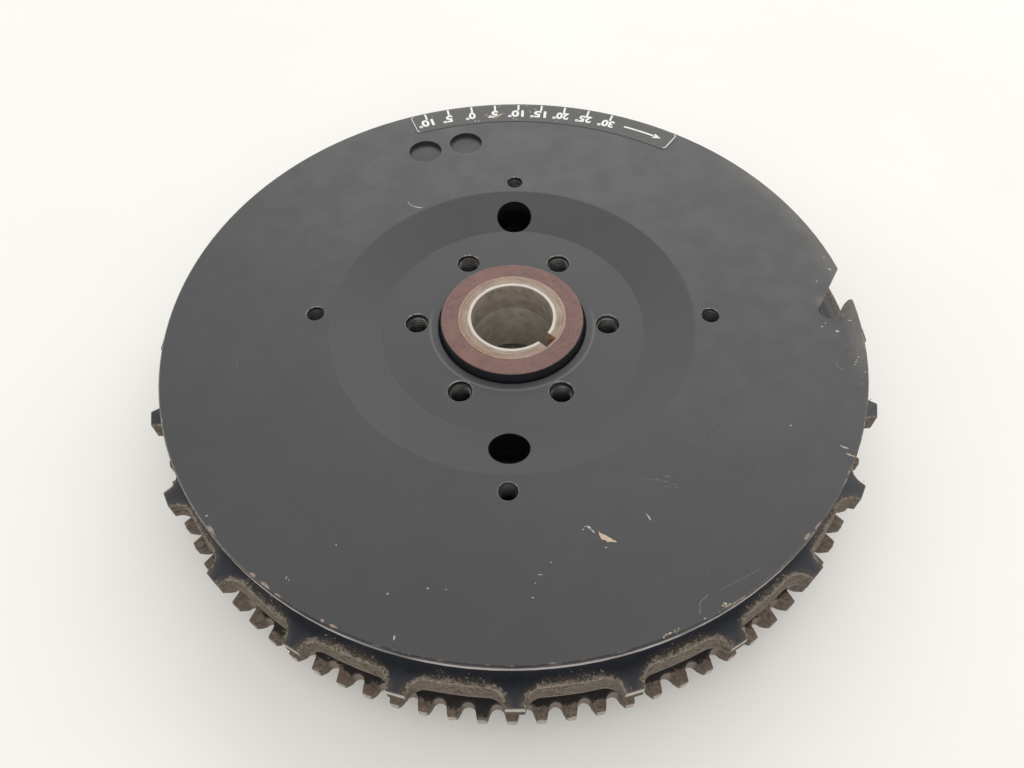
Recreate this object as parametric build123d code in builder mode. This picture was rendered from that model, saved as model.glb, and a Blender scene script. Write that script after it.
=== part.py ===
"""Magneto flywheel (rotor) of a mid-size outboard engine.

Frame: origin on the crankshaft axis, in the plane that the skirt rests on; +Z up through the
disc; millimetres. The four M6 holes lie on the X and Y axes.
"""
import os
from math import acos, cos, pi, radians, sin, sqrt, tan

from build123d import *

os.makedirs("parts", exist_ok=True)

# ---------------------------------------------------------------- driving dimensions
TOTAL_H = 45.0            # rest plane to the disc's top face

# disc
DISC_R = 117.5            # rim radius (235 mm disc)
RIM_T = 3.8               # thickness of the rim above the rope groove
DISH_OUTER_R = 62.0       # top of the dish's cone
DISH_INNER_R = 45.3       # bottom of the dish's cone
DISH_DEPTH = 4.9
WEB_T = 11.0              # web thickness
HUB_SEAT_R = 25.0         # hole in the web that takes the hub
HUB_SEAT_CHAMFER = 0.8

# rope groove under the rim
GROOVE_BOTTOM_R = 108.6
FLANGE_TOP_Z = TOTAL_H - 13.23
FLANGE_BOTTOM_Z = TOTAL_H - 20.1

# lugs on the flange
LUG_COUNT = 24
LUG_PHASE = 1.23          # first lug's centre, degrees from +X
LUG_R = 124.75
LUG_TIP_HALF = 1.25       # half angle of a lug's tip, degrees
SCALLOP_TOP_R = 119.4     # root of the scallop at the flange's top face
SCALLOP_BOTTOM_R = 120.5  # and at its underside
SCALLOP_CORNER = 5.55     # half angle of the scallop's root corner, degrees
SCALLOP_FILLET = 5.0

# ring gear
TEETH = 92
TOOTH_PHASE = 0.755
GEAR_TIP_R = 124.7
MODULE = 2 * GEAR_TIP_R / (TEETH + 2)           # 2.653
PRESSURE = 14.5
TOOTH_THINNING = 0.05     # off each side of a tooth, degrees
GEAR_ROOT_R = 120.1
GEAR_SEAT_R = 112.5
GEAR_TOP_Z = TOTAL_H - 28.6
GEAR_BOTTOM_Z = TOTAL_H - 35.2
GEAR_LEAD_IN = 2.5        # height of the sloped lead-in on the lower tooth ends
GEAR_LEAD_IN_R = 122.3    # radius it starts from at the lower face

# skirt and bowl
SHOULDER_R = 116.0        # shoulder that the ring gear is pressed against
SKIRT_R = 110.6           # skirt below the gear
BOWL_R = 98.5             # inside of the skirt, behind the magnets
CEILING_Z = TOTAL_H - WEB_T
RECESS_R = 107.0          # recess for the retainer ring
RECESS_Z = 3.5

# holes in the disc
M6_PCD = 135.0
M6_R = 3.0                # cut at the thread's major diameter
M6_DEPTH = 9.0
M8_PCD = 66.0
M8_R = 4.0
HOLDER_SPACING = 102.4    # plain holes for the holding tool, across the hub along Y
HOLDER_R = 6.5
BALANCE_R = 6.5
BALANCE_DEPTH = 1.5
BALANCE_RADIUS = 93.5
BALANCE_ANGLES = (102.55, 112.96)

# hub
HUB_TOP_Z = TOTAL_H - 1.0
HUB_BOTTOM_Z = TOTAL_H - 36.0
BORE_R = 14.0             # small end of the taper and the short plain bore above it
PLAIN_BORE_L = 12.0
TAPER = 0.1               # on the diameter
HUB_TOP_R = 24.4
SEAT_RING_R = 18.4        # raised machined ring round the bore
SEAT_STEP = 0.15
HUB_FLANGE_R = 42.0
HUB_FLANGE_T = 6.0
HUB_BARREL_R = 28.0
KEY_W = 5.0
KEY_ANGLE = -40.6
KEY_BACK_R = 17.6

# magnets
MAGNETS = 6
MAGNET_SPAN = 50.0        # degrees
MAGNET_IN_R = 89.5
MAGNET_Z0 = 5.0
MAGNET_Z1 = 31.0
SLEEVE_IN_R = 89.0
SLEEVE_Z1 = 33.0
RETAINER_IN_R = 88.4
RETAINER_OUT_R = 106.8
RETAINER_Z0 = 1.0
SCREW_PCD = 205.0
SCREWS = 6

# trigger magnets on the hub
TRIGGER_OUT_R = 38.5
TRIGGER_Z0 = 10.5
TRIGGER_Z1 = 23.1
TRIGGER_MAGNET_IN_R = 33.5
TRIGGER_MAGNET_OUT_R = 38.5

# timing label
LABEL_IN_R = 105.3
LABEL_OUT_R = 116.4
LABEL_A0 = 55.0
LABEL_A1 = 112.9
LABEL_T = 0.12

FLOOR_Z = TOTAL_H - DISH_DEPTH                  # dish floor
WEB_UNDER_Z = FLOOR_Z - WEB_T                   # web underside at the hub


def polar(r, a):
    """Point at radius r and angle a, in degrees."""
    return (r * cos(radians(a)), r * sin(radians(a)))


# ---------------------------------------------------------------- rotor body
# one scallop between two lugs: root arc, two filleted corners, straight flanks; the root
# leans outward towards the underside
with BuildPart() as scallop:
    for z, root_r in ((FLANGE_TOP_Z + 0.6, SCALLOP_TOP_R - 0.10),
                      (FLANGE_BOTTOM_Z - 0.3, SCALLOP_BOTTOM_R + 0.05)):
        with BuildSketch(Plane.XY.offset(z)) as window:
            half = 180.0 / LUG_COUNT - LUG_TIP_HALF
            slope = (half - SCALLOP_CORNER) / (LUG_R - SCALLOP_TOP_R)
            out_a = half + slope * 3.0
            in_a = SCALLOP_CORNER + slope * (root_r - SCALLOP_TOP_R)
            with BuildLine():
                root = ThreePointArc(polar(root_r, -in_a), (root_r, 0), polar(root_r, in_a))
                right = Line(root @ 1, polar(LUG_R + 3.0, out_a))
                left = Line(polar(LUG_R + 3.0, -out_a), root @ 0)
                Line(right @ 1, left @ 0)
            make_face()
            fillet(window.vertices().group_by(Axis.X)[0], SCALLOP_FILLET)
    loft(ruled=True)

# rope notch: straight run-in, round pocket for the knot, hooked tip
with BuildPart() as notch:
    with BuildSketch(Plane.XY.offset(FLANGE_TOP_Z + 1.0)):
        with BuildLine():
            run_in = Line((116.56, 24.0), (105.40, 4.45))
            pocket = ThreePointArc(run_in @ 1, (106.10, -1.00), (110.85, 0.55))
            hook = Spline(pocket @ 1, (112.90, 4.02), (114.95, 6.55), (116.35, 7.35),
                          (117.10, 7.15), (117.40, 6.45), (117.85, 5.60))
            Polyline(hook @ 1, (127.0, 5.6), (127.0, 24.0), run_in @ 0)
        make_face()
    extrude(amount=TOTAL_H - FLANGE_TOP_Z + 1.0)

with BuildPart() as rotor_body:
    # turned section, from the hub seat out over the disc, rim, groove, flange and skirt,
    # and back through the bowl
    with BuildSketch(Plane.XZ):
        with BuildLine():
            Polyline((HUB_SEAT_R, WEB_UNDER_Z),
                     (HUB_SEAT_R, FLOOR_Z - HUB_SEAT_CHAMFER),
                     (HUB_SEAT_R + HUB_SEAT_CHAMFER, FLOOR_Z),
                     (DISH_INNER_R, FLOOR_Z),
                     (DISH_OUTER_R, TOTAL_H),
                     (DISC_R - 0.35, TOTAL_H),
                     (DISC_R, TOTAL_H - 0.35),
                     (DISC_R, TOTAL_H - RIM_T),
                     (113.4, TOTAL_H - RIM_T - 0.3))
            ThreePointArc((113.4, TOTAL_H - RIM_T - 0.3),
                          (GROOVE_BOTTOM_R, 36.6),
                          (112.2, 33.0))
            ThreePointArc((112.2, 33.0), (114.4, 32.1), (117.3, FLANGE_TOP_Z))
            Polyline((117.3, FLANGE_TOP_Z),
                     (LUG_R - 0.25, FLANGE_TOP_Z),
                     (LUG_R, FLANGE_TOP_Z - 0.25),
                     (LUG_R, FLANGE_BOTTOM_Z + 0.25),
                     (LUG_R - 0.25, FLANGE_BOTTOM_Z),
                     (SHOULDER_R + 1.5, FLANGE_BOTTOM_Z),
                     (SHOULDER_R, FLANGE_BOTTOM_Z - 1.5),
                     (SHOULDER_R, GEAR_TOP_Z),
                     (GEAR_SEAT_R, GEAR_TOP_Z),
                     (GEAR_SEAT_R, GEAR_BOTTOM_Z - 0.4),
                     (SKIRT_R, GEAR_BOTTOM_Z - 2.0),
                     (SKIRT_R, 0.8),
                     (SKIRT_R - 0.8, 0),
                     (RECESS_R, 0),
                     (RECESS_R, RECESS_Z),
                     (BOWL_R, RECESS_Z),
                     (BOWL_R, CEILING_Z - 2.0),
                     (BOWL_R - 2.0, CEILING_Z),
                     (66.0, CEILING_Z),
                     (49.5, WEB_UNDER_Z),
                     (HUB_SEAT_R, WEB_UNDER_Z))
        make_face()
    revolve(axis=Axis.Z)

    # 24 scallops leave 24 lugs
    with PolarLocations(0, LUG_COUNT, start_angle=LUG_PHASE + 180.0 / LUG_COUNT):
        add(scallop.part, mode=Mode.SUBTRACT)

    add(notch.part, mode=Mode.SUBTRACT)

    # tapped M6 holes on the flat ring just outside the dish
    with BuildSketch(Plane.XY.offset(TOTAL_H)):
        with PolarLocations(M6_PCD / 2, 4):
            Circle(M6_R)
    extrude(amount=-M6_DEPTH, mode=Mode.SUBTRACT)
    with BuildSketch(Plane.XY.offset(TOTAL_H)):
        with PolarLocations(M6_PCD / 2, 4):
            Circle(M6_R + 0.25)
    extrude(amount=-0.25, taper=45, mode=Mode.SUBTRACT)

    # tapped M8 holes through the dish floor
    with BuildSketch(Plane.XY.offset(FLOOR_Z)):
        with PolarLocations(M8_PCD / 2, 6):
            Circle(M8_R)
    extrude(amount=-(WEB_T + 1.0), mode=Mode.SUBTRACT)
    with BuildSketch(Plane.XY.offset(FLOOR_Z)):
        with PolarLocations(M8_PCD / 2, 6):
            Circle(M8_R + 0.35)
    extrude(amount=-0.35, taper=45, mode=Mode.SUBTRACT)

    # plain through holes for the holding tool
    with BuildSketch(Plane.XY.offset(WEB_UNDER_Z - 1.0)):
        with PolarLocations(HOLDER_SPACING / 2, 2, start_angle=90):
            Circle(HOLDER_R)
    extrude(amount=WEB_T + DISH_DEPTH + 3.0, mode=Mode.SUBTRACT)

    # balance drillings
    with BuildSketch(Plane.XY.offset(TOTAL_H)):
        for a in BALANCE_ANGLES:
            with Locations(polar(BALANCE_RADIUS, a)):
                Circle(BALANCE_R)
    extrude(amount=-BALANCE_DEPTH, mode=Mode.SUBTRACT)

    # tapped M4 holes in the skirt's recess for the retainer screws
    with BuildSketch(Plane.XY.offset(RECESS_Z)):
        with PolarLocations(SCREW_PCD / 2, SCREWS, start_angle=30):
            Circle(2.0)
    extrude(amount=9.0, mode=Mode.SUBTRACT)
rotor_body.part.label = "rotor_body"
export_step(rotor_body.part, "parts/rotor_body.step")

# ---------------------------------------------------------------- hub
TAPER_END_R = BORE_R + (HUB_TOP_Z - PLAIN_BORE_L - HUB_BOTTOM_Z) * TAPER / 2
with BuildPart() as hub:
    with BuildSketch(Plane.XZ):
        with BuildLine():
            Polyline((BORE_R + 0.2, HUB_TOP_Z),
                     (SEAT_RING_R, HUB_TOP_Z),
                     (SEAT_RING_R, HUB_TOP_Z - SEAT_STEP),
                     (HUB_TOP_R - 0.3, HUB_TOP_Z - SEAT_STEP),
                     (HUB_TOP_R, HUB_TOP_Z - SEAT_STEP - 0.3),
                     (HUB_SEAT_R, FLOOR_Z - 0.2),
                     (HUB_SEAT_R, WEB_UNDER_Z),
                     (HUB_FLANGE_R, WEB_UNDER_Z),
                     (HUB_FLANGE_R, WEB_UNDER_Z - HUB_FLANGE_T + 0.8),
                     (HUB_FLANGE_R - 0.8, WEB_UNDER_Z - HUB_FLANGE_T),
                     (HUB_BARREL_R + 0.7, WEB_UNDER_Z - HUB_FLANGE_T),
                     (HUB_BARREL_R, WEB_UNDER_Z - HUB_FLANGE_T - 0.7),
                     (HUB_BARREL_R, HUB_BOTTOM_Z + 1.0),
                     (HUB_BARREL_R - 1.0, HUB_BOTTOM_Z),
                     (TAPER_END_R + 0.5, HUB_BOTTOM_Z),
                     (TAPER_END_R, HUB_BOTTOM_Z + 0.5),
                     (BORE_R, HUB_TOP_Z - PLAIN_BORE_L),
                     (BORE_R, HUB_TOP_Z - 0.2),
                     (BORE_R + 0.2, HUB_TOP_Z))
        make_face()
    revolve(axis=Axis.Z)
    # keyway, open at both ends
    with BuildSketch(Plane.XY.offset(HUB_BOTTOM_Z - 1.0)):
        with Locations(Location((0, 0, 0), (0, 0, KEY_ANGLE))):
            with Locations((KEY_BACK_R / 2, 0)):
                Rectangle(KEY_BACK_R, KEY_W)
    extrude(amount=HUB_TOP_Z - HUB_BOTTOM_Z + 2.0, mode=Mode.SUBTRACT)
    # the M8 threads run on through the flange
    with BuildSketch(Plane.XY.offset(WEB_UNDER_Z)):
        with PolarLocations(M8_PCD / 2, 6):
            Circle(M8_R)
    extrude(amount=-(HUB_FLANGE_T + 1.0), mode=Mode.SUBTRACT)
    # blind M4 holes for the trigger carrier's screws
    with BuildSketch(Plane.XY.offset(WEB_UNDER_Z - HUB_FLANGE_T)):
        with PolarLocations(M8_PCD / 2 + 1.0, 3, start_angle=30):
            Circle(1.6)
    extrude(amount=4.5, mode=Mode.SUBTRACT)
hub.part.label = "hub"
export_step(hub.part, "parts/hub.step")

# ---------------------------------------------------------------- ring gear
PITCH_R = TEETH * MODULE / 2
BASE_R = PITCH_R * cos(radians(PRESSURE))


def involute(angle):
    return tan(angle) - angle


def half_tooth(r):
    """Half angle of a tooth at radius r, in degrees, for an involute flank."""
    return (180 / pi) * (pi / (2 * TEETH) + involute(radians(PRESSURE))
                         - involute(acos(BASE_R / r))) - TOOTH_THINNING


FLANK_R = 121.4           # where the flank runs into the rounded root
with BuildPart() as ring_gear:
    with BuildSketch(Plane.XY.offset(GEAR_BOTTOM_Z)):
        with BuildLine():
            mid_r = (FLANK_R + GEAR_TIP_R) / 2
            for i in range(TEETH):
                c = TOOTH_PHASE + i * 360.0 / TEETH
                n = c + 360.0 / TEETH
                ThreePointArc(polar(FLANK_R, c - half_tooth(FLANK_R)),
                              polar(mid_r, c - half_tooth(mid_r)),
                              polar(GEAR_TIP_R, c - half_tooth(GEAR_TIP_R)))
                ThreePointArc(polar(GEAR_TIP_R, c - half_tooth(GEAR_TIP_R)),
                              polar(GEAR_TIP_R, c),
                              polar(GEAR_TIP_R, c + half_tooth(GEAR_TIP_R)))
                ThreePointArc(polar(GEAR_TIP_R, c + half_tooth(GEAR_TIP_R)),
                              polar(mid_r, c + half_tooth(mid_r)),
                              polar(FLANK_R, c + half_tooth(FLANK_R)))
                ThreePointArc(polar(FLANK_R, c + half_tooth(FLANK_R)),
                              polar(GEAR_ROOT_R, (c + n) / 2),
                              polar(FLANK_R, n - half_tooth(FLANK_R)))
        make_face()
    extrude(amount=GEAR_TOP_Z - GEAR_BOTTOM_Z)
    # bore, top edge break and the sloped lead-in on the side the pinion comes from
    with BuildSketch(Plane.XZ):
        with BuildLine():
            Polyline((GEAR_SEAT_R, GEAR_BOTTOM_Z),
                     (GEAR_LEAD_IN_R, GEAR_BOTTOM_Z),
                     (GEAR_TIP_R + 0.02, GEAR_BOTTOM_Z + GEAR_LEAD_IN),
                     (GEAR_TIP_R + 0.02, GEAR_TOP_Z - 0.3),
                     (GEAR_TIP_R - 0.3, GEAR_TOP_Z),
                     (GEAR_SEAT_R, GEAR_TOP_Z),
                     (GEAR_SEAT_R, GEAR_BOTTOM_Z))
        make_face()
    revolve(axis=Axis.Z, mode=Mode.INTERSECT)
ring_gear.part.label = "ring_gear"
export_step(ring_gear.part, "parts/ring_gear.step")

# ---------------------------------------------------------------- timing label
with BuildPart() as timing_label:
    with BuildSketch(Plane.XY.offset(TOTAL_H)) as label_band:
        with BuildLine():
            mid_a = (LABEL_A0 + LABEL_A1) / 2
            outer = ThreePointArc(polar(LABEL_OUT_R, LABEL_A0), polar(LABEL_OUT_R, mid_a),
                                  polar(LABEL_OUT_R, LABEL_A1))
            inner = ThreePointArc(polar(LABEL_IN_R, LABEL_A0), polar(LABEL_IN_R, mid_a),
                                  polar(LABEL_IN_R, LABEL_A1))
            Line(outer @ 0, inner @ 0)
            Line(outer @ 1, inner @ 1)
        make_face()
        fillet(label_band.vertices(), 2.0)
    extrude(amount=LABEL_T)
timing_label.part.label = "timing_label"
export_step(timing_label.part, "parts/timing_label.step")

# ---------------------------------------------------------------- magnets
for i in range(MAGNETS):
    a0 = 60.0 * i - MAGNET_SPAN / 2
    a1 = 60.0 * i + MAGNET_SPAN / 2
    with BuildPart() as magnet:
        with BuildSketch(Plane.XY.offset(MAGNET_Z0)):
            with BuildLine():
                m_out = ThreePointArc(polar(BOWL_R, a0), polar(BOWL_R, 60.0 * i),
                                      polar(BOWL_R, a1))
                m_in = ThreePointArc(polar(MAGNET_IN_R, a0), polar(MAGNET_IN_R, 60.0 * i),
                                     polar(MAGNET_IN_R, a1))
                Line(m_out @ 0, m_in @ 0)
                Line(m_out @ 1, m_in @ 1)
            make_face()
        extrude(amount=MAGNET_Z1 - MAGNET_Z0)
    magnet.part.label = "magnet_%d" % (i + 1)
    export_step(magnet.part, "parts/magnet_%d.step" % (i + 1))

# ---------------------------------------------------------------- magnet cage
with BuildPart() as magnet_cage:
    with BuildSketch(Plane.XZ):
        with BuildLine():
            Polyline((MAGNET_IN_R, RECESS_Z), (BOWL_R, RECESS_Z), (BOWL_R, CEILING_Z - 2.0),
                     (BOWL_R - 2.0, CEILING_Z), (MAGNET_IN_R + 1.0, CEILING_Z),
                     (MAGNET_IN_R, CEILING_Z - 1.0), (MAGNET_IN_R, RECESS_Z))
        make_face()
    revolve(axis=Axis.Z)
    # six windows for the magnets
    with BuildSketch(Plane.XY.offset(MAGNET_Z0)):
        for i in range(MAGNETS):
            a0 = 60.0 * i - MAGNET_SPAN / 2
            a1 = 60.0 * i + MAGNET_SPAN / 2
            r0 = MAGNET_IN_R - 1.0
            r1 = BOWL_R + 1.0
            with BuildLine():
                w_out = ThreePointArc(polar(r1, a0), polar(r1, 60.0 * i), polar(r1, a1))
                w_in = ThreePointArc(polar(r0, a0), polar(r0, 60.0 * i), polar(r0, a1))
                Line(w_out @ 0, w_in @ 0)
                Line(w_out @ 1, w_in @ 1)
            make_face()
    extrude(amount=MAGNET_Z1 - MAGNET_Z0, mode=Mode.SUBTRACT)
magnet_cage.part.label = "magnet_cage"
export_step(magnet_cage.part, "parts/magnet_cage.step")

# ---------------------------------------------------------------- magnet sleeve
with BuildPart() as magnet_sleeve:
    with BuildSketch(Plane.XY.offset(RECESS_Z)):
        Circle(MAGNET_IN_R)
        Circle(SLEEVE_IN_R, mode=Mode.SUBTRACT)
    extrude(amount=SLEEVE_Z1 - RECESS_Z)
magnet_sleeve.part.label = "magnet_sleeve"
export_step(magnet_sleeve.part, "parts/magnet_sleeve.step")

# ---------------------------------------------------------------- retainer ring and screws
HEAD_R = 3.6
with BuildPart() as retainer_ring:
    with BuildSketch(Plane.XZ):
        with BuildLine():
            Polyline((RETAINER_IN_R, RETAINER_Z0 + 0.4), (RETAINER_IN_R + 0.4, RETAINER_Z0),
                     (RETAINER_OUT_R - 0.4, RETAINER_Z0), (RETAINER_OUT_R, RETAINER_Z0 + 0.4),
                     (RETAINER_OUT_R, RECESS_Z), (RETAINER_IN_R, RECESS_Z),
                     (RETAINER_IN_R, RETAINER_Z0 + 0.4))
        make_face()
    revolve(axis=Axis.Z)
    with BuildSketch(Plane.XY.offset(RETAINER_Z0 - 0.5)):
        with PolarLocations(SCREW_PCD / 2, SCREWS, start_angle=30):
            Circle(2.0)
    extrude(amount=4.0, mode=Mode.SUBTRACT)
    with BuildSketch(Plane.XY.offset(RETAINER_Z0)):
        with PolarLocations(SCREW_PCD / 2, SCREWS, start_angle=30):
            Circle(HEAD_R)
    extrude(amount=HEAD_R - 2.0, taper=45, mode=Mode.SUBTRACT)
retainer_ring.part.label = "retainer_ring"
export_step(retainer_ring.part, "parts/retainer_ring.step")

with BuildPart() as retainer_screws:
    with BuildSketch(Plane.XY.offset(RETAINER_Z0)):
        with PolarLocations(SCREW_PCD / 2, SCREWS, start_angle=30):
            Circle(HEAD_R)
    extrude(amount=HEAD_R - 2.0, taper=45)
    with BuildSketch(Plane.XY.offset(RETAINER_Z0)):
        with PolarLocations(SCREW_PCD / 2, SCREWS, start_angle=30):
            Circle(1.95)
    extrude(amount=10.0)
    # hexagon sockets
    with BuildSketch(Plane.XY.offset(RETAINER_Z0)):
        with PolarLocations(SCREW_PCD / 2, SCREWS, start_angle=30):
            RegularPolygon(1.25, 6, major_radius=False)
    extrude(amount=1.6, mode=Mode.SUBTRACT)
retainer_screws.part.label = "retainer_screws"
export_step(retainer_screws.part, "parts/retainer_screws.step")

# ---------------------------------------------------------------- trigger magnets and carrier
with BuildPart() as trigger_carrier:
    with BuildSketch(Plane.XZ):
        with BuildLine():
            Polyline((HUB_BARREL_R, TRIGGER_Z0), (TRIGGER_OUT_R - 1.0, TRIGGER_Z0),
                     (TRIGGER_OUT_R, TRIGGER_Z0 + 1.0), (TRIGGER_OUT_R, TRIGGER_Z1 - 1.0),
                     (TRIGGER_OUT_R - 1.0, TRIGGER_Z1), (HUB_BARREL_R + 0.8, TRIGGER_Z1),
                     (HUB_BARREL_R, TRIGGER_Z1 - 0.8), (HUB_BARREL_R, TRIGGER_Z0))
        make_face()
    revolve(axis=Axis.Z)
    # pockets for the two trigger magnets, open outward
    with BuildSketch(Plane.XY.offset(TRIGGER_Z0 + 3.0)):
        for c in (0.0, 180.0):
            with BuildLine():
                p_out = ThreePointArc(polar(TRIGGER_OUT_R + 1.0, c - 20), polar(TRIGGER_OUT_R + 1.0, c),
                                      polar(TRIGGER_OUT_R + 1.0, c + 20))
                p_in = ThreePointArc(polar(TRIGGER_MAGNET_IN_R, c - 20), polar(TRIGGER_MAGNET_IN_R, c),
                                     polar(TRIGGER_MAGNET_IN_R, c + 20))
                Line(p_out @ 0, p_in @ 0)
                Line(p_out @ 1, p_in @ 1)
            make_face()
    extrude(amount=6.6, mode=Mode.SUBTRACT)
    # three countersunk screw holes
    with BuildSketch(Plane.XY.offset(TRIGGER_Z0 - 0.5)):
        with PolarLocations(M8_PCD / 2 + 1.0, 3, start_angle=30):
            Circle(1.6)
    extrude(amount=TRIGGER_Z1 - TRIGGER_Z0 + 1.0, mode=Mode.SUBTRACT)
    with BuildSketch(Plane.XY.offset(TRIGGER_Z0)):
        with PolarLocations(M8_PCD / 2 + 1.0, 3, start_angle=30):
            Circle(2.9)
    extrude(amount=1.3, taper=45, mode=Mode.SUBTRACT)
trigger_carrier.part.label = "trigger_carrier"
export_step(trigger_carrier.part, "parts/trigger_carrier.step")

for i, c in enumerate((0.0, 180.0)):
    with BuildPart() as trigger_magnet:
        with BuildSketch(Plane.XY.offset(TRIGGER_Z0 + 3.0)):
            with BuildLine():
                t_out = ThreePointArc(polar(TRIGGER_MAGNET_OUT_R, c - 20), polar(TRIGGER_MAGNET_OUT_R, c),
                                      polar(TRIGGER_MAGNET_OUT_R, c + 20))
                t_in = ThreePointArc(polar(TRIGGER_MAGNET_IN_R, c - 20), polar(TRIGGER_MAGNET_IN_R, c),
                                     polar(TRIGGER_MAGNET_IN_R, c + 20))
                Line(t_out @ 0, t_in @ 0)
                Line(t_out @ 1, t_in @ 1)
            make_face()
        extrude(amount=6.6)
    trigger_magnet.part.label = "trigger_magnet_%d" % (i + 1)
    export_step(trigger_magnet.part, "parts/trigger_magnet_%d.step" % (i + 1))

with BuildPart() as trigger_screws:
    with BuildSketch(Plane.XY.offset(TRIGGER_Z0)):
        with PolarLocations(M8_PCD / 2 + 1.0, 3, start_angle=30):
            Circle(2.9)
    extrude(amount=1.3, taper=45)
    with BuildSketch(Plane.XY.offset(TRIGGER_Z0)):
        with PolarLocations(M8_PCD / 2 + 1.0, 3, start_angle=30):
            Circle(1.55)
    extrude(amount=TRIGGER_Z1 - TRIGGER_Z0 + 4.0)
    with BuildSketch(Plane.XY.offset(TRIGGER_Z0)):
        with PolarLocations(M8_PCD / 2 + 1.0, 3, start_angle=30):
            RegularPolygon(1.0, 6, major_radius=False)
    extrude(amount=1.2, mode=Mode.SUBTRACT)
trigger_screws.part.label = "trigger_screws"
export_step(trigger_screws.part, "parts/trigger_screws.step")
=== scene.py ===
import math
import random

import bmesh
import bpy
import numpy as np
from mathutils import Matrix, Vector, noise
from mathutils.bvhtree import BVHTree


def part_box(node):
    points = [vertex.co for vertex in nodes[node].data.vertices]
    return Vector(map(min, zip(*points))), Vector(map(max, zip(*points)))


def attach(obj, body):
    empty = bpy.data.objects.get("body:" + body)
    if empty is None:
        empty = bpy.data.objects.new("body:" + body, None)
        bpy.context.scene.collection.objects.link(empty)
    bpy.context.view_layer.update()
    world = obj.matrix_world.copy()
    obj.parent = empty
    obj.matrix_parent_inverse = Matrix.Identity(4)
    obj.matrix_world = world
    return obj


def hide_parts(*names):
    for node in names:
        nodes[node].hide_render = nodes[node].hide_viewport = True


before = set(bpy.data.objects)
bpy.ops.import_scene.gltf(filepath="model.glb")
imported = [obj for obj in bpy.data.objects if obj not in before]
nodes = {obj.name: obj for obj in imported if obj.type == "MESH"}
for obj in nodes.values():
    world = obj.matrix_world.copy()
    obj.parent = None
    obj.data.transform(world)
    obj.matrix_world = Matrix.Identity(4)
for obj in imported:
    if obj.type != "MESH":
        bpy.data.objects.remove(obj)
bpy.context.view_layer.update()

RAD = math.pi / 180.0
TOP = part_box("rotor_body")[1].z * 1000.0          # disc face, mm
scene = bpy.context.scene
scene.view_settings.view_transform = "Standard"
scene.view_settings.look = "None"


# ------------------------------------------------------------------ camera
def make_camera():
    pos = Vector((0.00537, -0.17401, 0.25027))
    target = Vector((0.00049, -0.02919, 0.0450))
    roll = -0.0215
    forward = (target - pos).normalized()
    right = forward.cross(Vector((0, 0, 1))).normalized()
    up = right.cross(forward)
    c, s = math.cos(roll), math.sin(roll)
    r2 = c * right + s * up
    u2 = -s * right + c * up
    m = Matrix((r2, u2, -forward)).transposed().to_4x4()
    m.translation = pos
    data = bpy.data.cameras.new("camera")
    data.lens = 27.603
    data.sensor_width = 36.0
    data.sensor_fit = "HORIZONTAL"
    data.clip_start = 0.01
    data.clip_end = 20.0
    cam = bpy.data.objects.new("camera", data)
    scene.collection.objects.link(cam)
    cam.matrix_world = m
    scene.camera = cam


make_camera()


# ------------------------------------------------------------------ node graph helper
def lin(r, g, b):
    """sRGB 0-255 to linear RGBA."""
    out = []
    for v in (r, g, b):
        v /= 255.0
        out.append(v / 12.92 if v <= 0.04045 else ((v + 0.055) / 1.055) ** 2.4)
    return (*out, 1.0)


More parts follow.
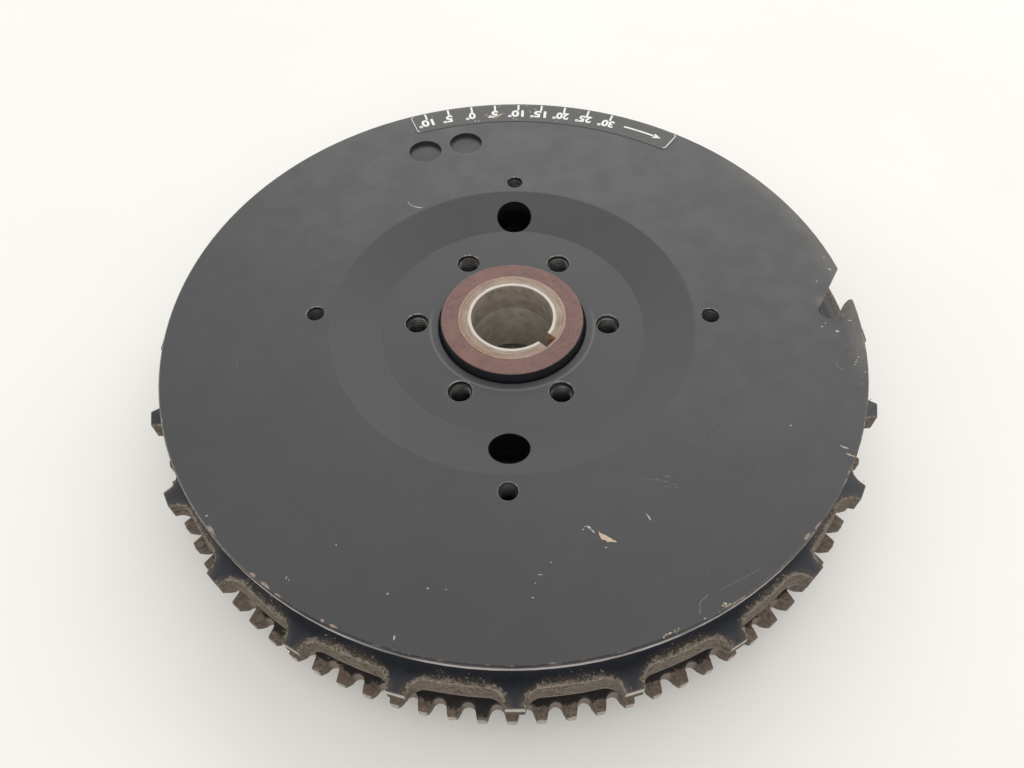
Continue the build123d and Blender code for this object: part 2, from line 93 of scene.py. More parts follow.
class Graph:
    """One material's node graph, with coordinates in millimetres in the part's own frame."""

    def __init__(self, name):
        self.mat = bpy.data.materials.new(name)
        self.mat.use_nodes = True
        self.nt = self.mat.node_tree
        self.nt.nodes.clear()
        self.out = self.nt.nodes.new("ShaderNodeOutputMaterial")
        self.bsdf = self.nt.nodes.new("ShaderNodeBsdfPrincipled")
        self.nt.links.new(self.bsdf.outputs[0], self.out.inputs[0])
        tc = self.nt.nodes.new("ShaderNodeTexCoord")
        scale = self.nt.nodes.new("ShaderNodeVectorMath")
        scale.operation = "SCALE"
        self.nt.links.new(tc.outputs["Object"], scale.inputs[0])
        scale.inputs["Scale"].default_value = 1000.0
        self.p = scale.outputs[0]
        sep = self.nt.nodes.new("ShaderNodeSeparateXYZ")
        self.nt.links.new(self.p, sep.inputs[0])
        self.x, self.y, self.z = sep.outputs
        nsep = self.nt.nodes.new("ShaderNodeSeparateXYZ")
        self.nt.links.new(tc.outputs["Normal"], nsep.inputs[0])
        self.nx, self.ny, self.nz = nsep.outputs
        self._r = self._a = self._cyl = None

    def put(self, sock, v):
        if isinstance(v, bpy.types.NodeSocket):
            self.nt.links.new(v, sock)
        else:
            sock.default_value = v

    def m(self, op, a, b=0.0, c=0.0, clamp=False):
        n = self.nt.nodes.new("ShaderNodeMath")
        n.operation = op
        n.use_clamp = clamp
        self.put(n.inputs[0], a)
        self.put(n.inputs[1], b)
        if op in ("MULTIPLY_ADD", "COMPARE"):
            self.put(n.inputs[2], c)
        return n.outputs[0]

    def add(self, a, b): return self.m("ADD", a, b)
    def sub(self, a, b): return self.m("SUBTRACT", a, b)
    def mul(self, a, b): return self.m("MULTIPLY", a, b)
    def mx(self, a, b): return self.m("MAXIMUM", a, b)
    def mn(self, a, b): return self.m("MINIMUM", a, b)
    def inv(self, a): return self.m("SUBTRACT", 1.0, a)

    def mulall(self, *v):
        out = v[0]
        for x in v[1:]:
            out = self.mul(out, x)
        return out

    def maxall(self, *v):
        out = v[0]
        for x in v[1:]:
            out = self.mx(out, x)
        return out

    @property
    def r(self):
        if self._r is None:
            self._r = self.m("SQRT", self.add(self.mul(self.x, self.x), self.mul(self.y, self.y)))
        return self._r

    @property
    def a(self):
        """Angle in degrees."""
        if self._a is None:
            self._a = self.mul(self.m("ARCTAN2", self.y, self.x), 180.0 / math.pi)
        return self._a

    def fade(self, x, lo, hi, a=0.0, b=1.0):
        n = self.nt.nodes.new("ShaderNodeMapRange")
        n.interpolation_type = "SMOOTHSTEP"
        self.put(n.inputs["Value"], x)
        if lo > hi:
            lo, hi, a, b = hi, lo, b, a
        self.put(n.inputs["From Min"], lo)
        self.put(n.inputs["From Max"], hi)
        self.put(n.inputs["To Min"], a)
        self.put(n.inputs["To Max"], b)
        return n.outputs["Result"]

    def band(self, x, lo, hi, soft=0.1):
        return self.mul(self.fade(x, lo - soft, lo + soft), self.fade(x, hi + soft, hi - soft))

    def vec(self, x, y, z):
        n = self.nt.nodes.new("ShaderNodeCombineXYZ")
        self.put(n.inputs[0], x)
        self.put(n.inputs[1], y)
        self.put(n.inputs[2], z)
        return n.outputs[0]

    def vscale(self, v, sx, sy, sz):
        n = self.nt.nodes.new("ShaderNodeVectorMath")
        n.operation = "MULTIPLY"
        self.put(n.inputs[0], v)
        n.inputs[1].default_value = (sx, sy, sz)
        return n.outputs[0]

    def noise(self, scale, detail=3.0, rough=0.5, vec=None, dist=0.0, seed=0.0):
        n = self.nt.nodes.new("ShaderNodeTexNoise")
        v = self.p if vec is None else vec
        if seed:
            o = self.nt.nodes.new("ShaderNodeVectorMath")
            o.operation = "ADD"
            self.put(o.inputs[0], v)
            o.inputs[1].default_value = (seed, seed * 1.7, seed * 0.6)
            v = o.outputs[0]
        self.put(n.inputs["Vector"], v)
        n.inputs["Scale"].default_value = scale
        n.inputs["Detail"].default_value = detail
        n.inputs["Roughness"].default_value = rough
        n.inputs["Distortion"].default_value = dist
        return n.outputs[0]

    def specks(self, scale, size, share, seed=0.0, vec=None):
        """Scattered round specks: 1 inside a speck."""
        n = self.nt.nodes.new("ShaderNodeTexVoronoi")
        v = self.p if vec is None else vec
        if seed:
            o = self.nt.nodes.new("ShaderNodeVectorMath")
            o.operation = "ADD"
            self.put(o.inputs[0], v)
            o.inputs[1].default_value = (seed, seed * 0.7, seed * 1.3)
            v = o.outputs[0]
        self.put(n.inputs["Vector"], v)
        n.inputs["Scale"].default_value = scale
        sep = self.nt.nodes.new("ShaderNodeSeparateColor")
        self.nt.links.new(n.outputs["Color"], sep.inputs[0])
        near = self.fade(n.outputs["Distance"], size, size * 0.6)
        return self.mul(near, self.m("GREATER_THAN", sep.outputs[0], 1.0 - share))

    def mix(self, f, a, b):
        n = self.nt.nodes.new("ShaderNodeMix")
        n.data_type = "RGBA"
        self.put(n.inputs[0], f)
        self.put(n.inputs[6], a)
        self.put(n.inputs[7], b)
        return n.outputs[2]

    def mixf(self, f, a, b):
        n = self.nt.nodes.new("ShaderNodeMix")
        n.data_type = "FLOAT"
        self.put(n.inputs[0], f)
        self.put(n.inputs[2], a)
        self.put(n.inputs[3], b)
        return n.outputs[0]

    def holes(self, pcd_r, count, phase=0.0):
        """Distance from the axis of the nearest of count holes on a circle of radius pcd_r."""
        step = 360.0 / count
        w = self.m("MODULO", self.add(self.a, 720.0 - phase + step / 2), step)
        w = self.mul(self.sub(w, step / 2), RAD)
        d2 = self.add(self.mul(self.r, self.r), pcd_r * pcd_r)
        d2 = self.sub(d2, self.mul(self.mul(self.r, 2.0 * pcd_r), self.m("COSINE", w)))
        return self.m("SQRT", self.mx(d2, 0.0))

    def near(self, px, py):
        dx, dy = self.sub(self.x, px), self.sub(self.y, py)
        return self.m("SQRT", self.add(self.mul(dx, dx), self.mul(dy, dy)))

    def bevel(self, radius_mm):
        n = self.nt.nodes.new("ShaderNodeBevel")
        n.samples = 4
        n.inputs["Radius"].default_value = radius_mm / 1000.0
        return n.outputs[0]

    def edge(self, bevel_normal):
        """1 close to an edge, from how far the bevelled normal leans from the face's own."""
        geo = self.nt.nodes.new("ShaderNodeNewGeometry")
        dot = self.nt.nodes.new("ShaderNodeVectorMath")
        dot.operation = "DOT_PRODUCT"
        self.nt.links.new(bevel_normal, dot.inputs[0])
        self.nt.links.new(geo.outputs["Normal"], dot.inputs[1])
        return self.fade(self.inv(dot.outputs["Value"]), 0.01, 0.16)

    def bump(self, height, strength, distance_mm, normal=None):
        n = self.nt.nodes.new("ShaderNodeBump")
        n.inputs["Strength"].default_value = strength
        n.inputs["Distance"].default_value = distance_mm / 1000.0
        self.put(n.inputs["Height"], height)
        if normal is not None:
            self.nt.links.new(normal, n.inputs["Normal"])
        return n.outputs[0]

    def shade(self, color=None, rough=None, metal=None, normal=None, spec=None, coat=None, coat_rough=None):
        b = self.bsdf
        for key, v in (("Base Color", color), ("Roughness", rough), ("Metallic", metal), ("Normal", normal),
                       ("Specular IOR Level", spec), ("Coat Weight", coat), ("Coat Roughness", coat_rough)):
            if v is not None:
                self.put(b.inputs[key], v)
        return self.mat


# ------------------------------------------------------------------ shared fields
LUG_PHASE, LUG_STEP = 1.23, 15.0


def scallop_distance(g):
    """Signed distance in mm from the outline of the nearest scallop at the flange's top: positive on the metal."""
    w = g.m("MODULO", g.add(g.a, 720.0 - LUG_PHASE), LUG_STEP)
    w = g.m("ABSOLUTE", g.sub(w, LUG_STEP / 2))
    u = g.mul(g.mul(w, RAD), g.r)
    edge_deg = g.add(g.mul(g.sub(g.r, 119.4), 0.131), 5.55)
    edge = g.mul(g.mul(edge_deg, RAD), g.r)
    qx = g.add(g.sub(u, edge), 5.0)
    qy = g.add(g.sub(119.4, g.r), 5.0)
    px, py = g.mx(qx, 0.0), g.mx(qy, 0.0)
    out = g.m("SQRT", g.add(g.mul(px, px), g.mul(py, py)))
    return g.sub(g.add(out, g.mn(g.mx(qx, qy), 0.0)), 5.0)


# ------------------------------------------------------------------ materials
def rotor_material():
    g = Graph("worn_black_enamel")
    big = g.noise(0.018, 3.0, 0.55)
    mid = g.noise(0.11, 4.0, 0.6, seed=11.0)
    fine = g.noise(1.9, 3.0, 0.6, seed=3.0)
    grain = g.noise(5.5, 2.0, 0.5, seed=23.0)
    up = g.fade(g.nz, 0.55, 0.8)
    side = g.fade(g.m("ABSOLUTE", g.nz), 0.85, 0.6)

    # enamel on the disc: charcoal, slightly cool, faintly mottled
    enamel = g.mix(g.fade(big, 0.35, 0.65), (0.0435, 0.0438, 0.0458, 1), (0.0490, 0.0490, 0.0502, 1))
    enamel = g.mix(g.fade(mid, 0.30, 0.75, 0.0, 0.45), enamel, (0.0400, 0.0403, 0.0430, 1))
    enamel = g.mix(g.fade(fine, 0.45, 0.80, 0.0, 0.20), enamel, (0.0680, 0.0680, 0.0680, 1))
    low = g.fade(g.z, 40.6, 40.3)
    # painted light: the dish floor is painted lighter and bluer, fading out towards the far side
    enamel = g.mix(g.mulall(low, g.fade(g.r, 46.5, 45.0), g.fade(g.y, 46.0, 10.0), 0.5), enamel, (0.0500, 0.0502, 0.0530, 1))
    # painted shade: the near side of the dish's cone is painted darker
    cone = g.mul(g.fade(g.m("ABSOLUTE", g.sub(g.r, 53.8)), 8.3, 7.9), g.fade(g.z, 44.98, 44.9))
    enamel = g.mix(g.mulall(cone, g.fade(g.y, 5.0, -25.0), 0.7), enamel, (0.0410, 0.0410, 0.0428, 1))
    # painted highlight: a pale line on the disc round the hub boss's foot, on the near side
    boss_foot_highlight = g.mulall(g.band(g.r, 27.9, 28.7, 0.25), low, g.fade(g.y, 12.0, -4.0))
    enamel = g.mix(g.mul(boss_foot_highlight, 0.7), enamel, (0.120, 0.121, 0.130, 1))
    # balance pockets: painted darker inside, as painted shade in the recess
    pocket_shade = g.mul(g.fade(g.mn(g.near(-20.32, 91.27), g.near(-36.47, 86.09)), 6.56, 6.48), g.fade(g.z, 44.95, 44.6))
    enamel = g.mix(g.mul(pocket_shade, 0.9), enamel, (0.0200, 0.0200, 0.0220, 1))
    # light polishing streaks
    streak_v = g.vscale(g.p, 0.06, 1.1, 1.0)
    streak = g.noise(1.0, 3.0, 0.6, vec=streak_v, dist=0.6)
    enamel = g.mix(g.mul(g.fade(streak, 0.60, 0.78), 0.10), enamel, (0.11, 0.11, 0.112, 1))
    # dust specks
    dust = g.maxall(g.specks(0.32, 0.055, 0.10, 7.0), g.mul(g.specks(0.75, 0.10, 0.035, 31.0), 0.7))
    enamel = g.mix(g.mul(dust, 0.5), enamel, (0.30, 0.30, 0.29, 1))
    color = enamel
    rough = g.mixf(g.fade(mid, 0.3, 0.7), 0.40, 0.48)
    rough = g.add(rough, g.mul(g.sub(fine, 0.5), 0.06))

    # thinner navy-black coat in the groove, on the flange and below
    below = g.mx(g.mul(g.fade(g.z, 41.35, 41.15), g.fade(g.r, 100.0, 101.0)), g.fade(g.z, 39.9, 39.7))
    navy = g.mix(g.fade(mid, 0.3, 0.7), (0.0120, 0.0145, 0.0215, 1), (0.0190, 0.0220, 0.0300, 1))
    navy = g.mix(g.fade(fine, 0.5, 0.8, 0.0, 0.5), navy, (0.0330, 0.0360, 0.0440, 1))
    by_hook = g.mulall(g.fade(g.x, 100.0, 106.0), g.band(g.a, -4.0, 13.0, 1.0))
    navy = g.mix(g.mul(by_hook, 0.8), navy, (0.0050, 0.0062, 0.0105, 1))
    color = g.mix(below, color, navy)

    # flange top: pale specks, more of them towards the scallops
    sd = scallop_distance(g)
    flange_top = g.mulall(up, g.band(g.z, 31.4, 33.0, 0.15), g.fade(g.r, 114.5, 115.5))
    near_edge = g.fade(sd, 3.0, 0.2)
    front = g.fade(g.y, -20.0, -75.0)
    spk = g.maxall(g.specks(0.85, 0.20, 0.10, 5.0), g.specks(1.7, 0.25, 0.12, 17.0))
    spk_all = g.mul(flange_top, g.mul(spk, g.mixf(near_edge, 0.25, 1.0)))
    color = g.mix(g.mul(spk_all, 0.75), color, (0.30, 0.28, 0.25, 1))
    # grime that has crept over the scallops' upper edges
    creep_n = g.sub(g.noise(0.75, 5.0, 0.7, seed=41.0), 0.46)
    by_notch = g.mulall(g.fade(g.x, 100.0, 108.0), g.band(g.a, -3.0, 14.0, 1.0))
    creep = g.sub(sd, g.mul(creep_n, g.mixf(front, 1.8, 7.5)))
    creep = g.sub(creep, g.mul(by_notch, 1.5))
    grime_top = g.mul(flange_top, g.fade(creep, 0.60, -0.10))
    haze_n = g.noise(0.55, 5.0, 0.75, seed=43.0)
    haze = g.mulall(flange_top, front, g.fade(g.add(sd, g.mul(g.sub(haze_n, 0.5), 7.0)), 3.6, 0.2))
    color = g.mix(g.mul(haze, 0.62), color, g.mix(g.fade(haze_n, 0.40, 0.62), (0.055, 0.044, 0.034, 1), (0.165, 0.132, 0.098, 1)))
    dirt_n = g.noise(1.3, 4.0, 0.7, seed=51.0)
    dirt = g.mix(g.fade(dirt_n, 0.30, 0.72), (0.075, 0.062, 0.050, 1), (0.270, 0.230, 0.190, 1))
    dirt = g.mix(g.mul(g.specks(1.6, 0.26, 0.22, 61.0), 0.8), dirt, (0.46, 0.41, 0.35, 1))
    color = g.mix(g.mul(grime_top, 0.92), color, dirt)

    # scallop walls and the flange's underside edge
    wall = g.mulall(side, g.band(g.z, 24.6, 31.85, 0.05), g.fade(g.r, 124.68, 124.55), g.fade(g.r, 118.2, 118.6))
    layer = g.noise(1.0, 4.0, 0.7, vec=g.vscale(g.p, 0.25, 0.25, 1.6), seed=71.0)
    wall_c = g.mix(g.fade(layer, 0.32, 0.70), (0.105, 0.088, 0.072, 1), (0.280, 0.240, 0.205, 1))
    wall_c = g.mix(g.fade(dirt_n, 0.55, 0.80, 0.0, 0.7), wall_c, (0.33, 0.27, 0.20, 1))
    wall_c = g.mix(g.mul(g.specks(1.5, 0.22, 0.10, 81.0), 0.9), wall_c, (0.025, 0.022, 0.020, 1))
    color = g.mix(wall, color, wall_c)
    # lug tips: rubbed bare metal, painted paler still as a painted reflection of the floor on the upright faces
    tip = g.mulall(side, g.band(g.z, 25.0, 31.62, 0.06), g.fade(g.r, 124.58, 124.68))
    tip_c = g.mix(g.fade(g.noise(0.8, 3.0, 0.6, seed=91.0), 0.35, 0.70), (0.47, 0.44, 0.385, 1), (0.36, 0.32, 0.27, 1))
    tip_c = g.mix(g.mul(g.specks(1.2, 0.22, 0.15, 93.0), 0.8), tip_c, (0.12, 0.085, 0.06, 1))
    tip_c = g.mix(g.fade(g.add(g.z, g.mul(g.sub(layer, 0.5), 1.2)), 28.7, 28.0), tip_c, g.mix(dirt_n, (0.030, 0.022, 0.017, 1), (0.105, 0.080, 0.060, 1)))
    color = g.mix(tip, color, tip_c)
    lug_edge = g.mulall(g.fade(g.r, 124.42, 124.50), g.band(g.z, 31.40, 31.82, 0.03))
    color = g.mix(g.mul(lug_edge, 0.75), color, (0.030, 0.033, 0.040, 1))

    # rim: upper half painted near-black as painted shade; lower half painted pale in broken patches, a painted
    # reflection of the floor
    rim = g.mulall(g.fade(g.r, 117.05, 117.25), g.band(g.z, 41.15, 44.98, 0.05))
    around = g.noise(0.045, 3.0, 0.6, seed=101.0)
    wob = g.mul(g.sub(g.noise(0.30, 3.0, 0.6, seed=103.0), 0.5), 0.5)
    rim_reflection_and_wear = g.mulall(rim, side, g.band(g.add(g.z, wob), 41.32, 43.15, 0.16))
    rim_reflection_and_wear = g.mul(rim_reflection_and_wear, g.fade(around, 0.36, 0.50, 0.38, 1.0))
    rim_reflection_and_wear_c = g.mix(g.fade(fine, 0.40, 0.70), (0.43, 0.40, 0.395, 1), (0.34, 0.305, 0.29, 1))
    # painted shade on the rim's upper half
    rim_upper_shade = g.mul(rim, g.fade(g.z, 43.0, 43.3))
    color = g.mix(rim_upper_shade, color, (0.0100, 0.0075, 0.0090, 1))
    color = g.mix(rim_reflection_and_wear, color, rim_reflection_and_wear_c)
    # worn upper rim edge, in patches
    lip = g.mulall(g.fade(g.r, 116.95, 117.12), g.fade(g.z, 44.55, 44.70))
    worn = g.fade(g.noise(0.28, 4.0, 0.65, seed=111.0), 0.53, 0.62)
    left = g.fade(g.m("ABSOLUTE", g.sub(g.m("ABSOLUTE", g.a), 180.0)), 62.0, 40.0)
    right = g.fade(g.m("ABSOLUTE", g.sub(g.a, -38.0)), 30.0, 18.0)
    lip_amount = g.mul(lip, g.maxall(g.mul(worn, 0.30), g.mulall(right, g.mixf(worn, 0.30, 0.85)), g.mul(left, g.fade(fine, 0.30, 0.55, 0.35, 0.85))))
    lip_c = g.mix(g.fade(dirt_n, 0.35, 0.65), (0.285, 0.270, 0.245, 1), (0.150, 0.120, 0.100, 1))
    color = g.mix(lip_amount, color, lip_c)

    # rope notch: rubbed walls and rust around the hook
    notch_d = g.mn(g.near(111.6, 0.6), g.mn(g.near(113.6, 4.4), g.near(109.8, -1.0)))
    rust_n = g.noise(0.55, 5.0, 0.7, seed=121.0)
    rust = g.mul(g.fade(g.add(notch_d, g.mul(rust_n, 5.0)), 5.6, 3.0), g.fade(g.z, 40.9, 41.5))
    rust_c = g.mix(g.fade(dirt_n, 0.35, 0.70), (0.105, 0.078, 0.056, 1), (0.300, 0.235, 0.180, 1))
    color = g.mix(g.mul(rust, g.fade(rust_n, 0.42, 0.60, 0.12, 0.75)), color, rust_c)
    stain = g.mulall(g.fade(g.add(g.near(106.3, 6.6), g.mul(rust_n, 5.0)), 6.4, 3.4), up, g.fade(g.z, 44.0, 44.8))
    color = g.mix(g.mul(stain, 0.35), color, (0.16, 0.125, 0.10, 1))
    rim_in = g.add(g.sub(117.5, g.r), g.mul(g.sub(rust_n, 0.5), 1.6))
    rim_stain = g.mulall(g.fade(rim_in, 1.1, 0.5), g.band(g.a, -7.0, -3.6, 0.6), g.fade(g.z, 44.0, 44.8))
    color = g.mix(g.mul(rim_stain, 0.8), color, rust_c)
    # olive dust gathered beside the notch and along the rim above it
    dusty = g.mulall(g.fade(g.add(g.sub(117.5, g.r), g.mul(g.sub(rust_n, 0.5), 8.0)), 7.0, 1.0), g.band(g.a, -12.0, 42.0, 6.0), g.fade(g.z, 44.0, 44.8))
    color = g.mix(g.mul(dusty, 0.42), color, (0.145, 0.130, 0.100, 1))
    color = g.mix(g.mulall(dusty, g.specks(0.9, 0.16, 0.22, 171.0), 0.8), color, (0.36, 0.33, 0.28, 1))
    in_notch = g.mulall(side, g.fade(g.z, 41.25, 41.45), g.fade(g.r, 105.0, 105.2), g.fade(g.r, 117.2, 117.0))
    notch_wall = g.mix(g.fade(rust_n, 0.40, 0.65), (0.030, 0.028, 0.028, 1), (0.115, 0.090, 0.075, 1))
    color = g.mix(in_notch, color, notch_wall)
    # tapped holes: walls painted near-black, as painted shade inside the holes
    d8 = g.holes(33.0, 6)
    d6 = g.holes(67.5, 4)
    in8 = g.mul(g.fade(d8, 4.12, 4.06), g.fade(g.z, 40.05, 39.9))
    in6 = g.mul(g.fade(d6, 3.12, 3.06), g.fade(g.z, 44.95, 44.8))
    tapped_hole_shade = g.mx(in8, in6)
    color = g.mix(tapped_hole_shade, color, (0.0045, 0.0045, 0.0050, 1))
    mouth8 = g.mulall(g.band(d8, 3.98, 4.42, 0.05), g.band(g.z, 39.70, 40.12, 0.04), g.fade(g.nz, 0.95, 0.85))
    mouth6 = g.mulall(g.band(d6, 2.98, 3.30, 0.04), g.band(g.z, 44.70, 45.02, 0.04), g.fade(g.nz, 0.95, 0.85))
    mouth_n = g.fade(g.noise(0.9, 3.0, 0.6, seed=131.0), 0.42, 0.62)
    mouth = g.mul(g.mx(mouth8, mouth6), g.mixf(mouth_n, 0.25, 0.85))
    color = g.mix(mouth, color, (0.36, 0.345, 0.325, 1))
    # holder holes: bare-edged; inside, the black coat is painted darker still as painted shade
    dh = g.holes(51.2, 2, 90.0)
    holder_hole_shade = g.mulall(g.fade(dh, 6.62, 6.54), g.fade(g.z, 44.98, 44.5))
    color = g.mix(holder_hole_shade, color, (0.0022, 0.0028, 0.0042, 1))

    # edges where the enamel is rubbed through
    bev = g.bevel(0.22)
    edge = g.edge(bev)
    edge_n = g.fade(g.noise(0.7, 4.0, 0.65, seed=141.0), 0.44, 0.60)
    notch_zone = g.mulall(g.fade(g.r, 104.0, 104.8), g.band(g.a, -3.0, 12.8, 0.5), g.fade(g.z, 44.3, 44.7))
    lug_zone = g.mulall(g.band(g.z, 24.2, 32.2, 0.2), g.fade(g.r, 117.0, 117.6))
    hole_zone = g.mulall(g.fade(g.r, 80.0, 79.0), g.fade(g.z, 39.0, 39.5))
    edge_amount = g.mul(edge, g.maxall(g.mul(notch_zone, 1.0), g.mul(lug_zone, g.mixf(edge_n, 0.10, 0.75)),
                                       g.mul(hole_zone, g.mul(edge_n, 0.30))))
    color = g.mix(edge_amount, color, (0.36, 0.325, 0.285, 1))

    # skirt, bowl and underside: coat dulled by dust and a little rust bloom
    under = g.fade(g.z, 24.2, 23.6)
    under_c = g.mix(g.fade(mid, 0.35, 0.7), (0.020, 0.020, 0.022, 1), (0.045, 0.041, 0.037, 1))
    under_c = g.mix(g.fade(g.noise(0.16, 5.0, 0.7, seed=151.0), 0.58, 0.70, 0.0, 0.8), under_c, (0.115, 0.066, 0.038, 1))
    color = g.mix(g.mul(under, 0.9), color, under_c)
    turned = g.mulall(g.fade(g.z, 4.2, 3.8), g.fade(g.m("ABSOLUTE", g.nz), 0.5, 0.8))
    rest = g.mulall(g.fade(g.z, 0.3, 0.1), g.fade(g.r, 106.0, 106.5))
    ring_n = g.noise(1.0, 3.0, 0.6, vec=g.vec(g.mul(g.r, 3.0), g.mul(g.a, 0.02), 0.0))
    color = g.mix(g.mul(rest, 0.85), color, g.mix(ring_n, (0.30, 0.28, 0.26, 1), (0.46, 0.44, 0.41, 1)))

    dirty = g.maxall(wall, grime_top, g.mul(rust, 0.9), tip)
    rough = g.mixf(g.fade(g.r, 63.5, 61.0), rough, 0.50)
    rough = g.mixf(below, rough, 0.34)
    rough = g.mixf(dirty, rough, 0.86)
    rough = g.mixf(rim_reflection_and_wear, rough, 0.42)
    rough = g.mixf(under, rough, 0.62)
    rough = g.mixf(tapped_hole_shade, rough, 0.45)
    metal = g.mx(g.mul(rim_reflection_and_wear, 0.15), g.mx(g.mul(mouth, 0.6), g.mul(rest, 0.8)))
    height = g.add(g.mul(grain, 0.25), g.add(g.mul(fine, 0.35), g.mul(mid, 0.6)))
    height = g.mixf(dirty, height, g.add(g.mul(dirt_n, 7.0), g.mul(layer, 4.0)))
    height = g.mixf(under, height, g.mul(g.noise(0.5, 5.0, 0.7, seed=161.0), 3.0))
    normal = g.bump(height, 0.5, 0.035, bev)
    return g.shade(color, rough, metal, normal, spec=0.5)


def hub_material():
    g = Graph("machined_hub_steel")
    fine = g.noise(2.2, 4.0, 0.6, seed=2.0)
    mid = g.noise(0.35, 4.0, 0.6, seed=4.0)
    spot = g.noise(0.9, 5.0, 0.65, seed=6.0)
    side = g.fade(g.m("ABSOLUTE", g.nz), 0.75, 0.5)
    top = g.fade(g.nz, 0.5, 0.8)
    # brown land round the ring
    brown = g.mix(g.fade(spot, 0.32, 0.68), (0.100, 0.043, 0.037, 1), (0.178, 0.086, 0.073, 1))
    brown = g.mix(g.fade(mid, 0.35, 0.70, 0.0, 0.55), brown, (0.165, 0.098, 0.090, 1))
    brown = g.mix(g.fade(g.noise(0.12, 3.0, 0.6, seed=8.0), 0.45, 0.65, 0.0, 0.5), brown, (0.205, 0.100, 0.074, 1))
    brown = g.mix(g.mul(g.specks(1.3, 0.16, 0.16, 9.0), 0.55), brown, (0.38, 0.29, 0.245, 1))
    brown = g.mix(g.mul(g.specks(1.1, 0.20, 0.12, 19.0), 0.6), brown, (0.055, 0.034, 0.030, 1))
    color = brown
    # pale machined ring with turning marks
    turn_v = g.vec(g.mul(g.add(g.r, g.mul(mid, 0.5)), 2.2), g.mul(g.a, 0.035), 0.0)
    turn = g.noise(1.0, 4.0, 0.65, vec=turn_v)
    ring = g.fade(g.r, 18.46, 18.36)
    cream = g.mix(g.fade(turn, 0.38, 0.64), (0.180, 0.122, 0.088, 1), (0.325, 0.262, 0.205, 1))
    tan = g.fade(g.add(g.r, g.mul(g.sub(turn, 0.5), 3.5)), 16.2, 17.9)
    left = g.fade(g.x, 4.0, -12.0)
    cream = g.mix(g.mulall(tan, g.mixf(left, 0.35, 0.85), g.fade(spot, 0.35, 0.6)), cream, (0.225, 0.115, 0.070, 1))
    cream = g.mix(g.fade(g.add(g.r, g.mul(g.sub(mid, 0.5), 0.7)), 15.5, 14.7, 0.0, 0.9), cream, (0.540, 0.500, 0.450, 1))
    # painted highlight: a pale line along the raised ring's outer edge
    ring_edge_highlight = g.mul(g.band(g.r, 18.05, 18.40, 0.08), g.fade(spot, 0.42, 0.60))
    cream = g.mix(g.mul(ring_edge_highlight, 0.7), cream, (0.42, 0.33, 0.25, 1))
    cream = g.mix(g.mulall(g.band(g.r, 16.3, 17.2, 0.25), g.fade(turn, 0.60, 0.68), 0.5), cream, (0.16, 0.12, 0.09, 1))
    color = g.mix(ring, color, cream)
    # boss side: black, painted darker still as painted shade
    boss_side_black_and_shade = g.mulall(g.fade(g.r, 24.28, 24.40), g.fade(g.z, 43.55, 43.40), g.fade(g.z, 29.5, 30.0))
    color = g.mix(boss_side_black_and_shade, color, (0.0105, 0.0110, 0.0145, 1))
    # bore and keyway
    bore = g.mul(g.fade(g.r, 17.9, 17.7), g.fade(g.z, 43.95, 43.78))
    stain_v = g.vec(g.mul(g.a, 0.055), g.mul(g.z, 0.22), 0.0)
    stain = g.noise(1.0, 5.0, 0.65, vec=stain_v, seed=12.0)
    bore_c = g.mix(g.fade(stain, 0.35, 0.66), (0.62, 0.575, 0.51, 1), (0.37, 0.325, 0.27, 1))
    # painted light: the bore below its step is painted paler than above it
    bore_c = g.mix(g.fade(g.z, 31.8, 32.3), g.mix(0.35, bore_c, (0.66, 0.61, 0.54, 1)), g.mix(0.45, bore_c, (0.250, 0.190, 0.145, 1)))
    blot = g.mulall(g.fade(g.noise(1.0, 4.0, 0.7, vec=g.vec(g.mul(g.a, 0.10), g.mul(g.z, 0.75), 3.0), seed=14.0), 0.62, 0.70), g.band(g.z, 20.0, 32.0, 2.0))
    bore_c = g.mix(g.mul(blot, 0.6), bore_c, (0.15, 0.125, 0.10, 1))
    # painted highlight along the bore's step
    step = g.band(g.z, 31.72, 32.12, 0.10)
    bore_c = g.mix(g.mul(step, 0.55), bore_c, (0.70, 0.65, 0.58, 1))
    color = g.mix(bore, color, bore_c)
    ka = -40.6 * RAD
    kx = g.add(g.mul(g.x, math.cos(ka)), g.mul(g.y, math.sin(ka)))
    ky = g.sub(g.mul(g.y, math.cos(ka)), g.mul(g.x, math.sin(ka)))
    key = g.mulall(g.fade(g.m("ABSOLUTE", ky), 2.62, 2.56), g.fade(kx, 13.9, 14.0), g.fade(g.r, 18.0, 17.95), g.fade(g.z, 43.98, 43.85))
    key_c = g.mix(g.fade(spot, 0.35, 0.65), (0.20, 0.085, 0.034, 1), (0.40, 0.20, 0.085, 1))
    key_far = g.mul(key, g.fade(ky, 1.9, 2.3))
    color = g.mix(g.mul(key, 0.75), color, g.mix(spot, (0.26, 0.20, 0.15, 1), (0.13, 0.095, 0.07, 1)))
    color = g.mix(g.mul(key_far, 0.95), color, key_c)
